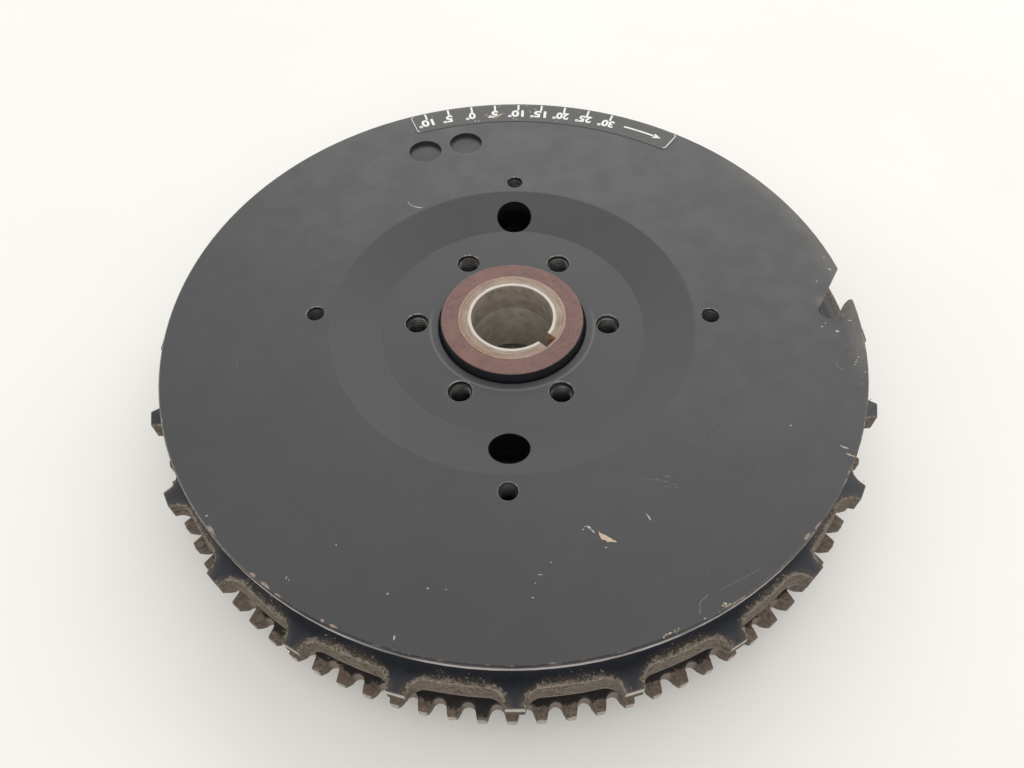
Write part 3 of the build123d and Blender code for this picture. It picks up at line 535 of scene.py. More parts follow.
    # underside: flange and barrel, turned and lightly rusted
    under = g.fade(g.z, 29.3, 29.0)
    outer = g.mul(under, g.fade(g.r, 18.2, 18.6))
    und_t = g.noise(1.0, 4.0, 0.6, vec=g.vec(g.mul(g.r, 2.0), g.mul(g.z, 2.0), g.mul(g.a, 0.01)), seed=15.0)
    und_c = g.mix(g.fade(und_t, 0.35, 0.68), (0.150, 0.140, 0.128, 1), (0.290, 0.275, 0.250, 1))
    und_c = g.mix(g.fade(g.noise(0.22, 5.0, 0.7, seed=16.0), 0.54, 0.68, 0.0, 0.85), und_c, (0.135, 0.075, 0.045, 1))
    color = g.mix(outer, color, und_c)
    bev = g.bevel(0.18)
    edge = g.edge(bev)
    lip = g.mulall(edge, g.fade(g.z, 43.1, 43.3), g.fade(g.noise(1.1, 3.0, 0.6, seed=17.0), 0.30, 0.50, 0.35, 0.9))
    color = g.mix(lip, color, (0.52, 0.44, 0.40, 1))
    rough = g.mixf(g.fade(spot, 0.3, 0.7), 0.46, 0.60)
    rough = g.mixf(ring, rough, 0.40)
    rough = g.mixf(boss_side_black_and_shade, rough, 0.28)
    rough = g.mixf(bore, rough, 0.42)
    rough = g.mixf(g.mul(key, 1.0), rough, 0.75)
    metal = g.mx(g.mul(ring, 0.30), g.mx(g.mul(bore, 0.35), g.mul(outer, 0.65)))
    metal = g.mul(metal, g.inv(key))
    height = g.add(g.mul(spot, 1.4), g.mul(fine, 1.0))
    height = g.mixf(ring, height, g.add(g.mul(turn, 2.6), g.mul(fine, 0.4)))
    height = g.mixf(bore, height, g.add(g.mul(stain, 0.8), g.mul(g.noise(1.0, 2.0, 0.5, vec=g.vscale(g.p, 0.05, 0.05, 3.0)), 1.2)))
    height = g.mixf(outer, height, g.mul(und_t, 2.5))
    normal = g.bump(height, 0.6, 0.030, bev)
    return g.shade(color, rough, metal, normal, spec=0.5)


def gear_material():
    g = Graph("rusty_gear_steel")
    n1 = g.noise(0.9, 5.0, 0.7, seed=1.0)
    n2 = g.noise(3.2, 4.0, 0.65, seed=2.0)
    n3 = g.noise(0.16, 3.0, 0.6, seed=3.0)
    up = g.fade(g.nz, 0.45, 0.75)
    side = g.fade(g.m("ABSOLUTE", g.nz), 0.8, 0.5)
    face = g.mix(g.fade(n1, 0.34, 0.66), (0.070, 0.050, 0.036, 1), (0.205, 0.158, 0.120, 1))
    face = g.mix(g.fade(n2, 0.45, 0.72, 0.0, 0.6), face, (0.260, 0.205, 0.155, 1))
    face = g.mix(g.fade(n3, 0.48, 0.64, 0.0, 0.7), face, (0.135, 0.090, 0.072, 1))
    rusty = g.fade(g.noise(0.45, 4.0, 0.6, seed=5.0), 0.58, 0.70)
    face = g.mix(g.mul(rusty, 0.75), face, (0.165, 0.078, 0.052, 1))
    face = g.mix(g.mul(g.specks(1.6, 0.24, 0.10, 7.0), 0.8), face, (0.42, 0.37, 0.31, 1))
    face = g.mix(g.mul(g.specks(1.1, 0.30, 0.10, 8.0), 0.8), face, (0.022, 0.019, 0.018, 1))
    color = face
    # flanks and root valleys
    wall = g.mix(g.fade(n1, 0.30, 0.70), (0.060, 0.045, 0.036, 1), (0.185, 0.148, 0.120, 1))
    wall = g.mix(g.fade(n2, 0.50, 0.75, 0.0, 0.6), wall, (0.260, 0.215, 0.180, 1))
    wall = g.mix(g.mul(g.fade(g.z, 15.2, 16.2), 0.55), wall, (0.035, 0.025, 0.020, 1))
    color = g.mix(side, color, wall)
    root = g.mul(side, g.fade(g.r, 121.3, 120.7))
    color = g.mix(g.mul(root, 0.8), color, g.mix(n2, (0.150, 0.120, 0.100, 1), (0.290, 0.245, 0.210, 1)))
    # rubbed tips
    tip = g.mul(side, g.fade(g.r, 124.36, 124.50))
    tip_c = g.mix(g.fade(n2, 0.35, 0.70), (0.32, 0.27, 0.24, 1), (0.52, 0.465, 0.43, 1))
    tip_c = g.mix(g.fade(n1, 0.58, 0.70, 0.0, 0.8), tip_c, (0.22, 0.15, 0.115, 1))
    color = g.mix(g.mul(tip, 0.9), color, tip_c)
    # overspray of the black enamel at the roots, upper face only
    shift = g.add(g.mul(g.sub(g.noise(0.55, 4.0, 0.7, seed=9.0), 0.5), 7.0), g.mul(g.sub(g.noise(0.05, 2.0, 0.5, seed=10.0), 0.5), 11.0))
    spray = g.mul(g.fade(g.add(g.r, shift), 121.6, 120.6), g.fade(g.z, 16.0, 16.2))
    color = g.mix(g.mul(spray, 0.95), color, (0.0085, 0.0080, 0.0080, 1))
    inner = g.mul(g.fade(g.r, 118.4, 117.8), g.fade(g.z, 16.0, 16.2))
    color = g.mix(inner, color, (0.010, 0.010, 0.010, 1))
    # the starter side: cleaner where the pinion slides in
    lead = g.mulall(g.fade(g.z, 12.2, 11.4), g.fade(g.nz, -0.15, -0.35), g.fade(g.r, 120.4, 121.0))
    color = g.mix(g.mul(lead, 0.7), color, g.mix(n1, (0.42, 0.39, 0.36, 1), (0.26, 0.22, 0.19, 1)))
    bottom = g.mul(g.fade(g.nz, -0.6, -0.8), g.fade(g.z, 10.4, 10.0))
    color = g.mix(g.mul(bottom, 0.5), color, (0.150, 0.115, 0.090, 1))
    bev = g.bevel(0.15)
    edge = g.edge(bev)
    amount = g.mulall(edge, g.fade(g.r, 120.8, 121.6), g.fade(g.noise(0.9, 3.0, 0.6, seed=12.0), 0.40, 0.58, 0.15, 0.8))
    color = g.mix(g.mul(amount, g.inv(spray)), color, (0.36, 0.30, 0.26, 1))
    rough = g.mixf(g.fade(n1, 0.3, 0.7), 0.62, 0.80)
    rough = g.mixf(tip, rough, 0.42)
    rough = g.mixf(spray, rough, 0.45)
    metal = g.mx(g.mul(tip, 0.35), g.mul(lead, 0.5))
    height = g.add(g.mul(n1, 5.0), g.mul(n2, 2.5))
    normal = g.bump(height, 0.7, 0.045, bev)
    return g.shade(color, rough, metal, normal, spec=0.45)


def thread_material():
    g = Graph("oiled_thread_steel_with_painted_shade")
    n1 = g.noise(0.9, 3.0, 0.6, seed=1.0)
    d8, d6 = g.holes(33.0, 6), g.holes(67.5, 4)
    crest = g.mx(g.mul(g.fade(d8, 3.56, 3.40), g.fade(g.r, 45.0, 44.0)), g.mul(g.fade(d6, 2.64, 2.50), g.fade(g.r, 60.0, 61.0)))
    metal_c = g.mix(g.fade(g.noise(0.16, 2.0, 0.5, seed=9.0), 0.40, 0.60), (0.46, 0.435, 0.40, 1), (0.110, 0.098, 0.088, 1))
    metal_c = g.mix(g.fade(g.noise(0.5, 3.0, 0.6, seed=3.0), 0.56, 0.68, 0.0, 0.8), metal_c, (0.20, 0.12, 0.08, 1))
    # painted light and shade: pale crests, with the roots and deeper turns going near-black and the M6 threads darker
    # still
    depth = g.mul(g.fade(g.z, 33.0, 39.6), g.fade(g.add(g.r, g.mul(g.z, 10.0)), 0.0, 1.0))
    m6_thread_shade = g.fade(g.r, 60.0, 61.0)
    metal_c = g.mix(g.mul(m6_thread_shade, 0.85), metal_c, (0.020, 0.020, 0.021, 1))
    color = g.mix(g.mul(crest, depth), (0.0030, 0.0029, 0.0032, 1), metal_c)
    return g.shade(color, g.mixf(n1, 0.40, 0.60), g.mul(crest, 0.25), g.bump(n1, 0.3, 0.01), spec=0.5)


def print_material():
    g = Graph("white_print")
    n1 = g.noise(1.1, 4.0, 0.65, seed=1.0)
    n2 = g.noise(4.0, 3.0, 0.6, seed=2.0)
    color = g.mix(g.fade(n1, 0.35, 0.70), (0.83, 0.83, 0.81, 1), (0.70, 0.69, 0.66, 1))
    color = g.mix(g.fade(n2, 0.60, 0.75, 0.0, 0.5), color, (0.55, 0.53, 0.49, 1))
    return g.shade(color, g.mixf(n1, 0.45, 0.6), 0.0, g.bump(n2, 0.3, 0.01))


def label_material():
    g = Graph("label_film")
    n1 = g.noise(0.25, 4.0, 0.6, seed=1.0)
    n2 = g.noise(1.6, 4.0, 0.65, seed=2.0)
    color = g.mix(g.fade(n1, 0.35, 0.65), (0.046, 0.046, 0.045, 1), (0.058, 0.057, 0.055, 1))
    color = g.mix(g.fade(n2, 0.55, 0.75, 0.0, 0.35), color, (0.085, 0.083, 0.078, 1))
    scuff = g.mulall(g.fade(g.noise(0.9, 5.0, 0.7, seed=5.0), 0.60, 0.68), g.fade(g.noise(0.10, 2.0, 0.5, seed=6.0), 0.46, 0.58))
    color = g.mix(g.mul(scuff, 0.35), color, (0.25, 0.23, 0.20, 1))
    border = g.mx(g.fade(g.r, 105.75, 105.45), 0.0)
    color = g.mix(g.mul(border, 0.85), color, (0.012, 0.012, 0.013, 1))
    outer = g.mul(g.fade(g.r, 115.9, 116.3), g.fade(n2, 0.40, 0.55))
    color = g.mix(g.mul(outer, 0.5), color, (0.22, 0.21, 0.18, 1))
    rough = g.mixf(n1, 0.38, 0.50)
    return g.shade(color, rough, 0.0, g.bump(g.add(n2, g.mul(scuff, 2.0)), 0.4, 0.02), spec=0.5)


def chip_material():
    g = Graph("bare_primer")
    n1 = g.noise(1.5, 4.0, 0.65, seed=1.0)
    n2 = g.noise(5.0, 3.0, 0.6, seed=2.0)
    color = g.mix(g.fade(n1, 0.35, 0.68), (0.560, 0.440, 0.340, 1), (0.420, 0.310, 0.235, 1))
    color = g.mix(g.fade(n2, 0.58, 0.75, 0.0, 0.6), color, (0.200, 0.135, 0.100, 1))
    return g.shade(color, g.mixf(n2, 0.55, 0.8), 0.0, g.bump(n2, 0.6, 0.03))


def scuff_material():
    g = Graph("pale_scuff")
    n1 = g.noise(2.0, 4.0, 0.65, seed=1.0)
    color = g.mix(g.fade(n1, 0.35, 0.68), (0.46, 0.455, 0.44, 1), (0.26, 0.255, 0.25, 1))
    return g.shade(color, g.mixf(n1, 0.45, 0.7), 0.0, g.bump(n1, 0.5, 0.02))


def cream_material():
    g = Graph("cream_scuff")
    n1 = g.noise(1.8, 4.0, 0.7, seed=1.0)
    n2 = g.noise(5.0, 3.0, 0.6, seed=2.0)
    color = g.mix(g.fade(n1, 0.35, 0.66), (0.560, 0.520, 0.400, 1), (0.330, 0.285, 0.200, 1))
    color = g.mix(g.fade(n2, 0.50, 0.70, 0.0, 0.75), color, (0.120, 0.105, 0.080, 1))
    return g.shade(color, g.mixf(n2, 0.6, 0.85), 0.0, g.bump(n2, 0.6, 0.03))


def faint_material():
    g = Graph("faint_scratch")
    n1 = g.noise(2.0, 4.0, 0.65, seed=1.0)
    color = g.mix(g.fade(n1, 0.35, 0.68), (0.150, 0.150, 0.150, 1), (0.085, 0.085, 0.086, 1))
    return g.shade(color, g.mixf(n1, 0.45, 0.6), 0.0, g.bump(n1, 0.5, 0.02))


def crust_material():
    g = Graph("dried_grime")
    n1 = g.noise(1.1, 5.0, 0.72, seed=1.0)
    n2 = g.noise(3.0, 4.0, 0.65, seed=2.0)
    n3 = g.noise(0.14, 3.0, 0.6, seed=3.0)
    layer = g.noise(1.0, 4.0, 0.7, vec=g.vscale(g.p, 0.45, 0.45, 2.0), seed=8.0)
    top = g.fade(g.nz, 0.35, 0.7)
    wall_c = g.mix(g.fade(layer, 0.36, 0.64), (0.034, 0.026, 0.020, 1), (0.200, 0.160, 0.120, 1))
    wall_c = g.mix(g.fade(n3, 0.42, 0.62, 0.0, 0.55), wall_c, (0.120, 0.104, 0.088, 1))
    wall_c = g.mix(g.mul(g.fade(g.z, 25.9, 25.1), g.fade(n1, 0.35, 0.55, 0.25, 0.8)), wall_c, (0.20, 0.165, 0.13, 1))
    top_c = g.mix(g.fade(n1, 0.34, 0.66), (0.060, 0.047, 0.034, 1), (0.225, 0.180, 0.135, 1))
    color = g.mix(top, wall_c, top_c)
    color = g.mix(g.fade(n2, 0.50, 0.70, 0.0, 0.7), color, (0.350, 0.300, 0.235, 1))
    # painted highlight along the crust's upper edge at the flange top
    ridge_highlight = g.mulall(g.fade(g.m("ABSOLUTE", g.sub(g.z, 31.70)), 0.55, 0.15), g.fade(n1, 0.38, 0.55))
    color = g.mix(g.mul(ridge_highlight, 0.55), color, (0.36, 0.32, 0.27, 1))
    color = g.mix(g.mul(g.specks(1.9, 0.28, 0.12, 4.0), 0.85), color, (0.52, 0.46, 0.38, 1))
    color = g.mix(g.mul(g.specks(1.4, 0.30, 0.14, 6.0), 0.9), color, (0.022, 0.019, 0.017, 1))
    height = g.add(g.mul(n1, 5.0), g.mul(n2, 3.0))
    return g.shade(color, g.mixf(n2, 0.75, 0.95), 0.0, g.bump(height, 0.9, 0.08), spec=0.3)


def rim_chip_material():
    g = Graph("dulled_chip")
    n1 = g.noise(1.3, 4.0, 0.65, seed=1.0)
    n2 = g.noise(5.0, 3.0, 0.6, seed=2.0)
    color = g.mix(g.fade(n1, 0.35, 0.68), (0.330, 0.265, 0.215, 1), (0.215, 0.160, 0.130, 1))
    color = g.mix(g.fade(n2, 0.50, 0.70, 0.0, 0.8), color, (0.085, 0.062, 0.052, 1))
    return g.shade(color, g.mixf(n2, 0.6, 0.85), 0.0, g.bump(n2, 0.6, 0.03))


def plain_steel(name, c0, c1, rough0, rough1, metal, scale=1.2, rust=0.0, bump=0.03, spec=0.5, brushed=None, edge_c=None):
    g = Graph(name)
    n1 = g.noise(scale, 5.0, 0.65, seed=1.0)
    n2 = g.noise(scale * 4.0, 3.0, 0.6, seed=2.0)
    if brushed == "around":
        v = g.vec(g.mul(g.r, 4.0), g.mul(g.z, 3.2), g.mul(g.a, 0.02))
        n1 = g.noise(1.0, 4.0, 0.6, vec=v)
    color = g.mix(g.fade(n1, 0.33, 0.68), c0, c1)
    color = g.mix(g.fade(n2, 0.52, 0.76, 0.0, 0.4), color, tuple(min(1.0, x * 1.5) for x in c1[:3]) + (1,))
    if rust:
        color = g.mix(g.fade(g.noise(scale * 0.25, 5.0, 0.7, seed=5.0), 0.60 - rust * 0.1, 0.74, 0.0, 0.8), color, (0.14, 0.075, 0.04, 1))
    bev = g.bevel(0.15)
    if edge_c:
        e = g.mul(g.edge(bev), g.fade(g.noise(scale * 0.8, 3.0, 0.6, seed=8.0), 0.40, 0.60, 0.2, 0.9))
        color = g.mix(e, color, edge_c)
    rough = g.mixf(g.fade(n1, 0.3, 0.7), rough0, rough1)
    return g.shade(color, rough, metal, g.bump(g.add(n1, g.mul(n2, 0.5)), 0.6, bump, bev), spec=spec)


def set_material(obj, mat):
    obj.data.materials.clear()
    obj.data.materials.append(mat)
    for p in obj.data.polygons:
        p.material_index = 0


M_ROTOR, M_HUB, M_GEAR, M_THREAD = rotor_material(), hub_material(), gear_material(), thread_material()
M_PRINT, M_LABEL, M_CHIP, M_SCUFF = print_material(), label_material(), chip_material(), scuff_material()
M_FAINT, M_CRUST, M_RIMCHIP, M_CREAM = faint_material(), crust_material(), rim_chip_material(), cream_material()
M_FERRITE = plain_steel("ferrite", (0.035, 0.035, 0.037, 1), (0.062, 0.060, 0.060, 1), 0.55, 0.75, 0.0, 2.2, bump=0.06, edge_c=(0.13, 0.125, 0.12, 1))
M_CAGE = plain_steel("moulded_nylon", (0.020, 0.017, 0.014, 1), (0.033, 0.027, 0.022, 1), 0.42, 0.6, 0.0, 1.0, bump=0.02)
M_SLEEVE = plain_steel("brushed_stainless", (0.42, 0.41, 0.39, 1), (0.60, 0.585, 0.56, 1), 0.28, 0.42, 0.95, 1.0, brushed="around")
M_RETAINER = plain_steel("zinc_plate", (0.42, 0.40, 0.36, 1), (0.60, 0.575, 0.52, 1), 0.34, 0.52, 0.85, 0.8, rust=0.6, brushed="around", edge_c=(0.68, 0.66, 0.62, 1))
M_SCREW = plain_steel("black_oxide_screw", (0.060, 0.058, 0.056, 1), (0.125, 0.118, 0.110, 1), 0.32, 0.5, 0.7, 1.6, rust=0.5, edge_c=(0.34, 0.32, 0.30, 1))
M_CARRIER = plain_steel("glass_filled_nylon", (0.016, 0.016, 0.017, 1), (0.030, 0.030, 0.031, 1), 0.40, 0.58, 0.0, 1.4, bump=0.03, edge_c=(0.055, 0.055, 0.056, 1))

for name, mat in (("rotor_body", M_ROTOR), ("hub", M_HUB), ("timing_label", M_LABEL),
                  ("magnet_cage", M_CAGE), ("magnet_sleeve", M_SLEEVE), ("retainer_ring", M_RETAINER),
                  ("retainer_screws", M_SCREW), ("trigger_screws", M_SCREW), ("trigger_carrier", M_CARRIER),
                  ("trigger_magnet_1", M_FERRITE), ("trigger_magnet_2", M_FERRITE), ("ring_gear", M_GEAR)):
    set_material(nodes[name], mat)
for i in range(1, 7):
    set_material(nodes["magnet_%d" % i], M_FERRITE)


# ------------------------------------------------------------------ mesh helpers
def make(name, verts_mm, faces, mat, smooth=True, angle=None):
    me = bpy.data.meshes.new(name)
    me.from_pydata([(x / 1000.0, y / 1000.0, z / 1000.0) for x, y, z in verts_mm], [], faces)
    me.update()
    ob = bpy.data.objects.new(name, me)
    scene.collection.objects.link(ob)
    me.materials.append(mat)
    if smooth:
        me.polygons.foreach_set("use_smooth", [True] * len(me.polygons))
    if angle is not None:
        bm = bmesh.new()
        bm.from_mesh(me)
        bm.normal_update()
        for e in bm.edges:
            if len(e.link_faces) == 2 and e.calc_face_angle(0.0) > angle * RAD:
                e.smooth = False
        bm.to_mesh(me)
        bm.free()
    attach(ob, "root")
    return ob


def pol(r, a, z):
    return (r * math.cos(a * RAD), r * math.sin(a * RAD), z)


def nz(x, y, z, s, seed=0.0):
    return noise.noise(Vector((x * s + seed, y * s - seed * 0.7, z * s + seed * 1.3)))


# ------------------------------------------------------------------ ring gear
TIP_R, FLANK_R, ROOT_R, SEAT_R = 124.70, 121.4, 120.1, 112.5
TEETH, PRESSURE, TOOTH_PHASE = 92, 14.5 * RAD, 0.755
MODULE = 2 * TIP_R / (TEETH + 2)
G_TOP, G_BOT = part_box("ring_gear")[1].z * 1000.0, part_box("ring_gear")[0].z * 1000.0


def half_tooth(r):
    pitch_r = TEETH * MODULE / 2
    base = pitch_r * math.cos(PRESSURE)
    inv = lambda t: math.tan(t) - t
    return (math.pi / (2 * TEETH) + inv(PRESSURE) - inv(math.acos(base / r))) / RAD - 0.05


def build_gear():
    rnd = random.Random(92)
    tip_h, flank_h = half_tooth(TIP_R), half_tooth(FLANK_R)
    step = 360.0 / TEETH
    # half profile from the tooth's centre to the valley's centre: (angle, r, flank weight, tip weight)
    half = [(0.0, TIP_R, 0, 1), (tip_h * 0.45, TIP_R, 0, 1), (tip_h * 0.82, TIP_R - 0.01, 0, 1),
            (tip_h * 0.965, TIP_R - 0.07, 0.5, 0.8), (half_tooth(TIP_R - 0.25) * 0.998, TIP_R - 0.25, 1, 0.4)]
    for r in (124.0, 123.4, 122.8, 122.2, 121.8, 121.4):
        half.append((half_tooth(r), r, 1, 0))
    # root arc
    p1 = np.array([FLANK_R * math.cos(flank_h * RAD), FLANK_R * math.sin(flank_h * RAD)])
    mid = np.array([ROOT_R * math.cos(step / 2 * RAD), ROOT_R * math.sin(step / 2 * RAD)])
    axis = mid / np.linalg.norm(mid)
    # circle through p1, mid, symmetric about axis
    d = p1 - mid
    along, across = float(d @ axis), float(np.linalg.norm(d - (d @ axis) * axis))
    rad = (along * along + across * across) / (2 * along)
    centre = mid + axis * rad
    a1 = math.atan2(across, along - rad)
    perp = np.array([axis[1], -axis[0]])
    if (p1 - mid) @ perp < 0:
        perp = -perp
    for k in (0.72, 0.42, 0.16, 0.0):
        t = math.pi - (math.pi - a1) * k
        q = centre + axis * rad * math.cos(t) + perp * rad * math.sin(t)
        half.append((math.atan2(q[1], q[0]) / RAD, float(np.hypot(*q)), 0.4, 0))
    prof = [(-a, r, -f, t) for a, r, f, t in reversed(half[1:-1])] + [(a, r, f, t) for a, r, f, t in half]
    levels = [(G_TOP, 0.30), (G_TOP - 0.05, 0.14), (G_TOP - 0.20, 0.03), (G_TOP - 0.5, 0.0)]
    z = G_TOP - 1.4
    while z > G_BOT + 1.0:
        levels.append((z, 0.0))
        z -= 0.80
    levels += [(G_BOT + 0.35, 0.0), (G_BOT + 0.10, 0.06), (G_BOT, 0.22)]
    n = len(prof) * TEETH
    verts = []
    tooth_of = []
    for z, inset in levels:
        clip = 122.3 + max(0.0, z - G_BOT) / 2.5 * (TIP_R - 122.3) if z < G_BOT + 2.5 else 999.0
        for i in range(TEETH):
            c = TOOTH_PHASE + i * step
            for a, r, f, t in prof:
                rr = min(r, clip) - inset * (1.0 if (t or abs(f) < 0.9) else 0.35)
                aa = a - math.copysign(min(abs(a), inset * abs(f) / r / RAD), a) if a else a
                verts.append([rr, c + aa, z])
                tooth_of.append(i)
    # wear: nicked corners on some teeth, and an uneven radius on all
    nicks = []
    for i in range(TEETH):
        for _ in range(rnd.choice((0, 1, 1, 2))):
            zc = rnd.choice((G_TOP, G_TOP - rnd.uniform(0, 3.0), G_BOT + 2.5))
            nicks.append((i, rnd.uniform(-1.2, 1.2), zc, rnd.uniform(0.10, 0.42), rnd.uniform(0.35, 0.9)))
    by_tooth = {}
    for k in nicks:
        by_tooth.setdefault(k[0], []).append(k)
    out = []
    for (r, a, z), i in zip(verts, tooth_of):
        c = TOOTH_PHASE + i * step
        for _, off, zc, depth, size in by_tooth.get(i, ()):
            dx = (a - c) * RAD * r - off
            dd = (dx * dx + (z - zc) ** 2 + max(0.0, 124.3 - r) ** 2) / (size * size)
            if dd < 6:
                r -= depth * math.exp(-dd)
        x, y, _z = pol(r, a, z)
        d = nz(x, y, z, 0.9, 3.0) * 0.07 + nz(x, y, z, 0.25, 9.0) * 0.07
        if r < TIP_R - 0.5:
            d *= 1.4
        r = min(r + d, TIP_R)
        out.append(pol(r, a, z))
    faces = []
    L = len(levels)
    for k in range(L - 1):
        for j in range(n):
            j2 = (j + 1) % n
            faces.append((k * n + j, (k + 1) * n + j, (k + 1) * n + j2, k * n + j2))
    # caps: rings running in from the outline to the seat
    def cap(base, z, flip, dz):
        nonlocal out, faces
        prev = [base + j for j in range(n)]
        src = [out[j] for j in prev]
        for frac, lift in ((0.10, 0.0), (0.24, 0.0), (0.42, 0.0), (0.62, 0.0), (0.80, 0.0), (1.0, 0.0)):
            start = len(out)
            for j in range(n):
                x, y, _ = src[j]
                r0, a0 = math.hypot(x, y), math.atan2(y, x) / RAD
                even = TOOTH_PHASE - step / 2 + (j + 0.5) * 360.0 / n
                de = (even - a0 + 540) % 360 - 180
                inner = SEAT_R
                # run straight in along the tooth, then spread towards the ring
                r1 = r0 + (inner - r0) * frac
                a1_ = a0 + de * max(0.0, (frac - 0.42) / 0.58)
                x1, y1, _ = pol(r1, a1_, z)
                h = 0.0
                if 0.0 < frac < 1.0:
                    h = (nz(x1, y1, 0, 0.8, 21.0) * 0.05 + nz(x1, y1, 0, 2.2, 5.0) * 0.025) * dz
                    h = min(h, 0.0) if dz > 0 else max(h, 0.0)
                out.append((x1, y1, z + h))
            cur = list(range(start, start + n))
            for j in range(n):
                j2 = (j + 1) % n
                q = (prev[j], prev[j2], cur[j2], cur[j])
                faces.append(q if not flip else tuple(reversed(q)))
            prev = cur
        return prev
    top_in = cap(0, G_TOP, False, 1.0)
    bot_in = cap((L - 1) * n, G_BOT, True, -1.0)
    for j in range(n):
        j2 = (j + 1) % n
        faces.append((top_in[j], top_in[j2], bot_in[j2], bot_in[j]))
    ob = make("ring_gear_worn", out, faces, M_GEAR, angle=40)
    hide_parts("ring_gear")
    return ob


build_gear()


# ------------------------------------------------------------------ internal threads
def thread(name, cx, cy, z_top, z_bot, r_out, r_in, pitch, segs=40, seed=0):
    """A helical ridge standing in from the hole's wall, as an open strip sunk into the wall."""
    rnd = random.Random(seed)
    turns = (z_top - z_bot) / pitch
    steps = int(turns * segs)
    ph = rnd.uniform(0, 360)
    verts, faces = [], []
    prof = ((r_out + 0.04, 0.46), (r_in + 0.06, 0.10), (r_in, 0.0), (r_in + 0.06, -0.10), (r_out + 0.04, -0.46))
    m = len(prof)
    for k in range(steps + 1):
        t = k / segs
        fade_in = min(1.0, k / (segs * 0.6), (steps - k) / (segs * 0.5))
        z = z_top - 0.46 * pitch - t * pitch * (turns - 0.92) / turns
        a = ph + t * 360.0
        for r, dz in prof:
            rr = r_out + 0.04 - (r_out + 0.04 - r) * max(0.02, fade_in)
            rr += 0.02 * nz(k * 0.15, seed, dz, 1.0, 4.0)
            verts.append((cx + rr * math.cos(a * RAD), cy + rr * math.sin(a * RAD), z + dz * pitch))
    for k in range(steps):
        for j in range(m - 1):
            faces.append((k * m + j, (k + 1) * m + j, (k + 1) * m + j + 1, k * m + j + 1))
    for base, rev in ((0, False), (steps * m, True)):
        f = tuple(range(base, base + m))
        faces.append(tuple(reversed(f)) if rev else f)
    # close the strip's back, inside the wall
    for k in range(steps):
        faces.append((k * m + m - 1, (k + 1) * m + m - 1, (k + 1) * m, k * m))
    return make(name, verts, faces, M_THREAD, angle=35)


for i in range(6):
    x, y, _ = pol(33.0, 60.0 * i, 0)
    thread("m8_thread_%d" % (i + 1), x, y, 39.85, 23.15, 4.0, 3.34, 1.25, seed=10 + i)
for i in range(4):
    x, y, _ = pol(67.5, 90.0 * i, 0)
    thread("m6_thread_%d" % (i + 1), x, y, 44.80, 36.1, 3.0, 2.46, 1.0, seed=30 + i)


# ------------------------------------------------------------------ timing print on the label
LABEL_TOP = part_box("timing_label")[1].z * 1000.0
PRINT_Z = LABEL_TOP + 0.012


def slab(name, loops, mat, z0, z1):
    """Flat islands, each a closed loop of (x, y), with thickness."""
    verts, faces = [], []
    for loop in loops:
        b = len(verts)
        k = len(loop)
        area = sum(loop[i][0] * loop[(i + 1) % k][1] - loop[(i + 1) % k][0] * loop[i][1] for i in range(k))
        if area < 0:
            loop = list(reversed(loop))
        verts += [(x, y, z0) for x, y in loop] + [(x, y, z1) for x, y in loop]
        faces.append(tuple(range(b + k, b + 2 * k)))
        faces.append(tuple(reversed(range(b, b + k))))
        for i in range(k):
            j = (i + 1) % k
            faces.append((b + i, b + j, b + k + j, b + k + i))
    return make(name, verts, faces, mat, smooth=False)


def radial_bar(a, r0, r1, w, rnd=None):
    da0, da1 = w / 2 / r0 / RAD, w / 2 / r1 / RAD
    pts = []
    for k in range(5):
        r = r0 + (r1 - r0) * k / 4
        pts.append((r, a - (da0 + (da1 - da0) * k / 4)))
    for k in range(5):
        r = r1 + (r0 - r1) * k / 4
        pts.append((r, a + (da1 + (da0 - da1) * k / 4)))
    out = []
    for r, aa in pts:
        j = (rnd.uniform(-0.04, 0.04), rnd.uniform(-0.02, 0.02)) if rnd else (0, 0)
        x, y, _ = pol(r + j[0], aa + j[1] / r / RAD, 0)
        out.append((x, y))
    return out


TICKS = ((109.37, "10"), (104.52, "5"), (99.51, "0"), (94.54, "5"), (89.54, "10"),
         (84.63, "15"), (79.71, "20"), (74.67, "25"), (69.65, "30"))


def degree_ring(cx, cy, r0, r1, n=18):
    verts, faces = [], []
    for z in (LABEL_TOP - 0.01, PRINT_Z):
        for r in (r0, r1):
            for k in range(n):
                a = 360.0 * k / n
                verts.append((cx + r * math.cos(a * RAD), cy + r * math.sin(a * RAD), z))
    for k in range(n):
        j = (k + 1) % n
        faces.append((2 * n + k, 3 * n + k, 3 * n + j, 2 * n + j))
        faces.append((k, j, n + j, n + k))
        faces.append((n + k, n + j, 3 * n + j, 3 * n + k))
        faces.append((k, 2 * n + k, 2 * n + j, j))
    return verts, faces


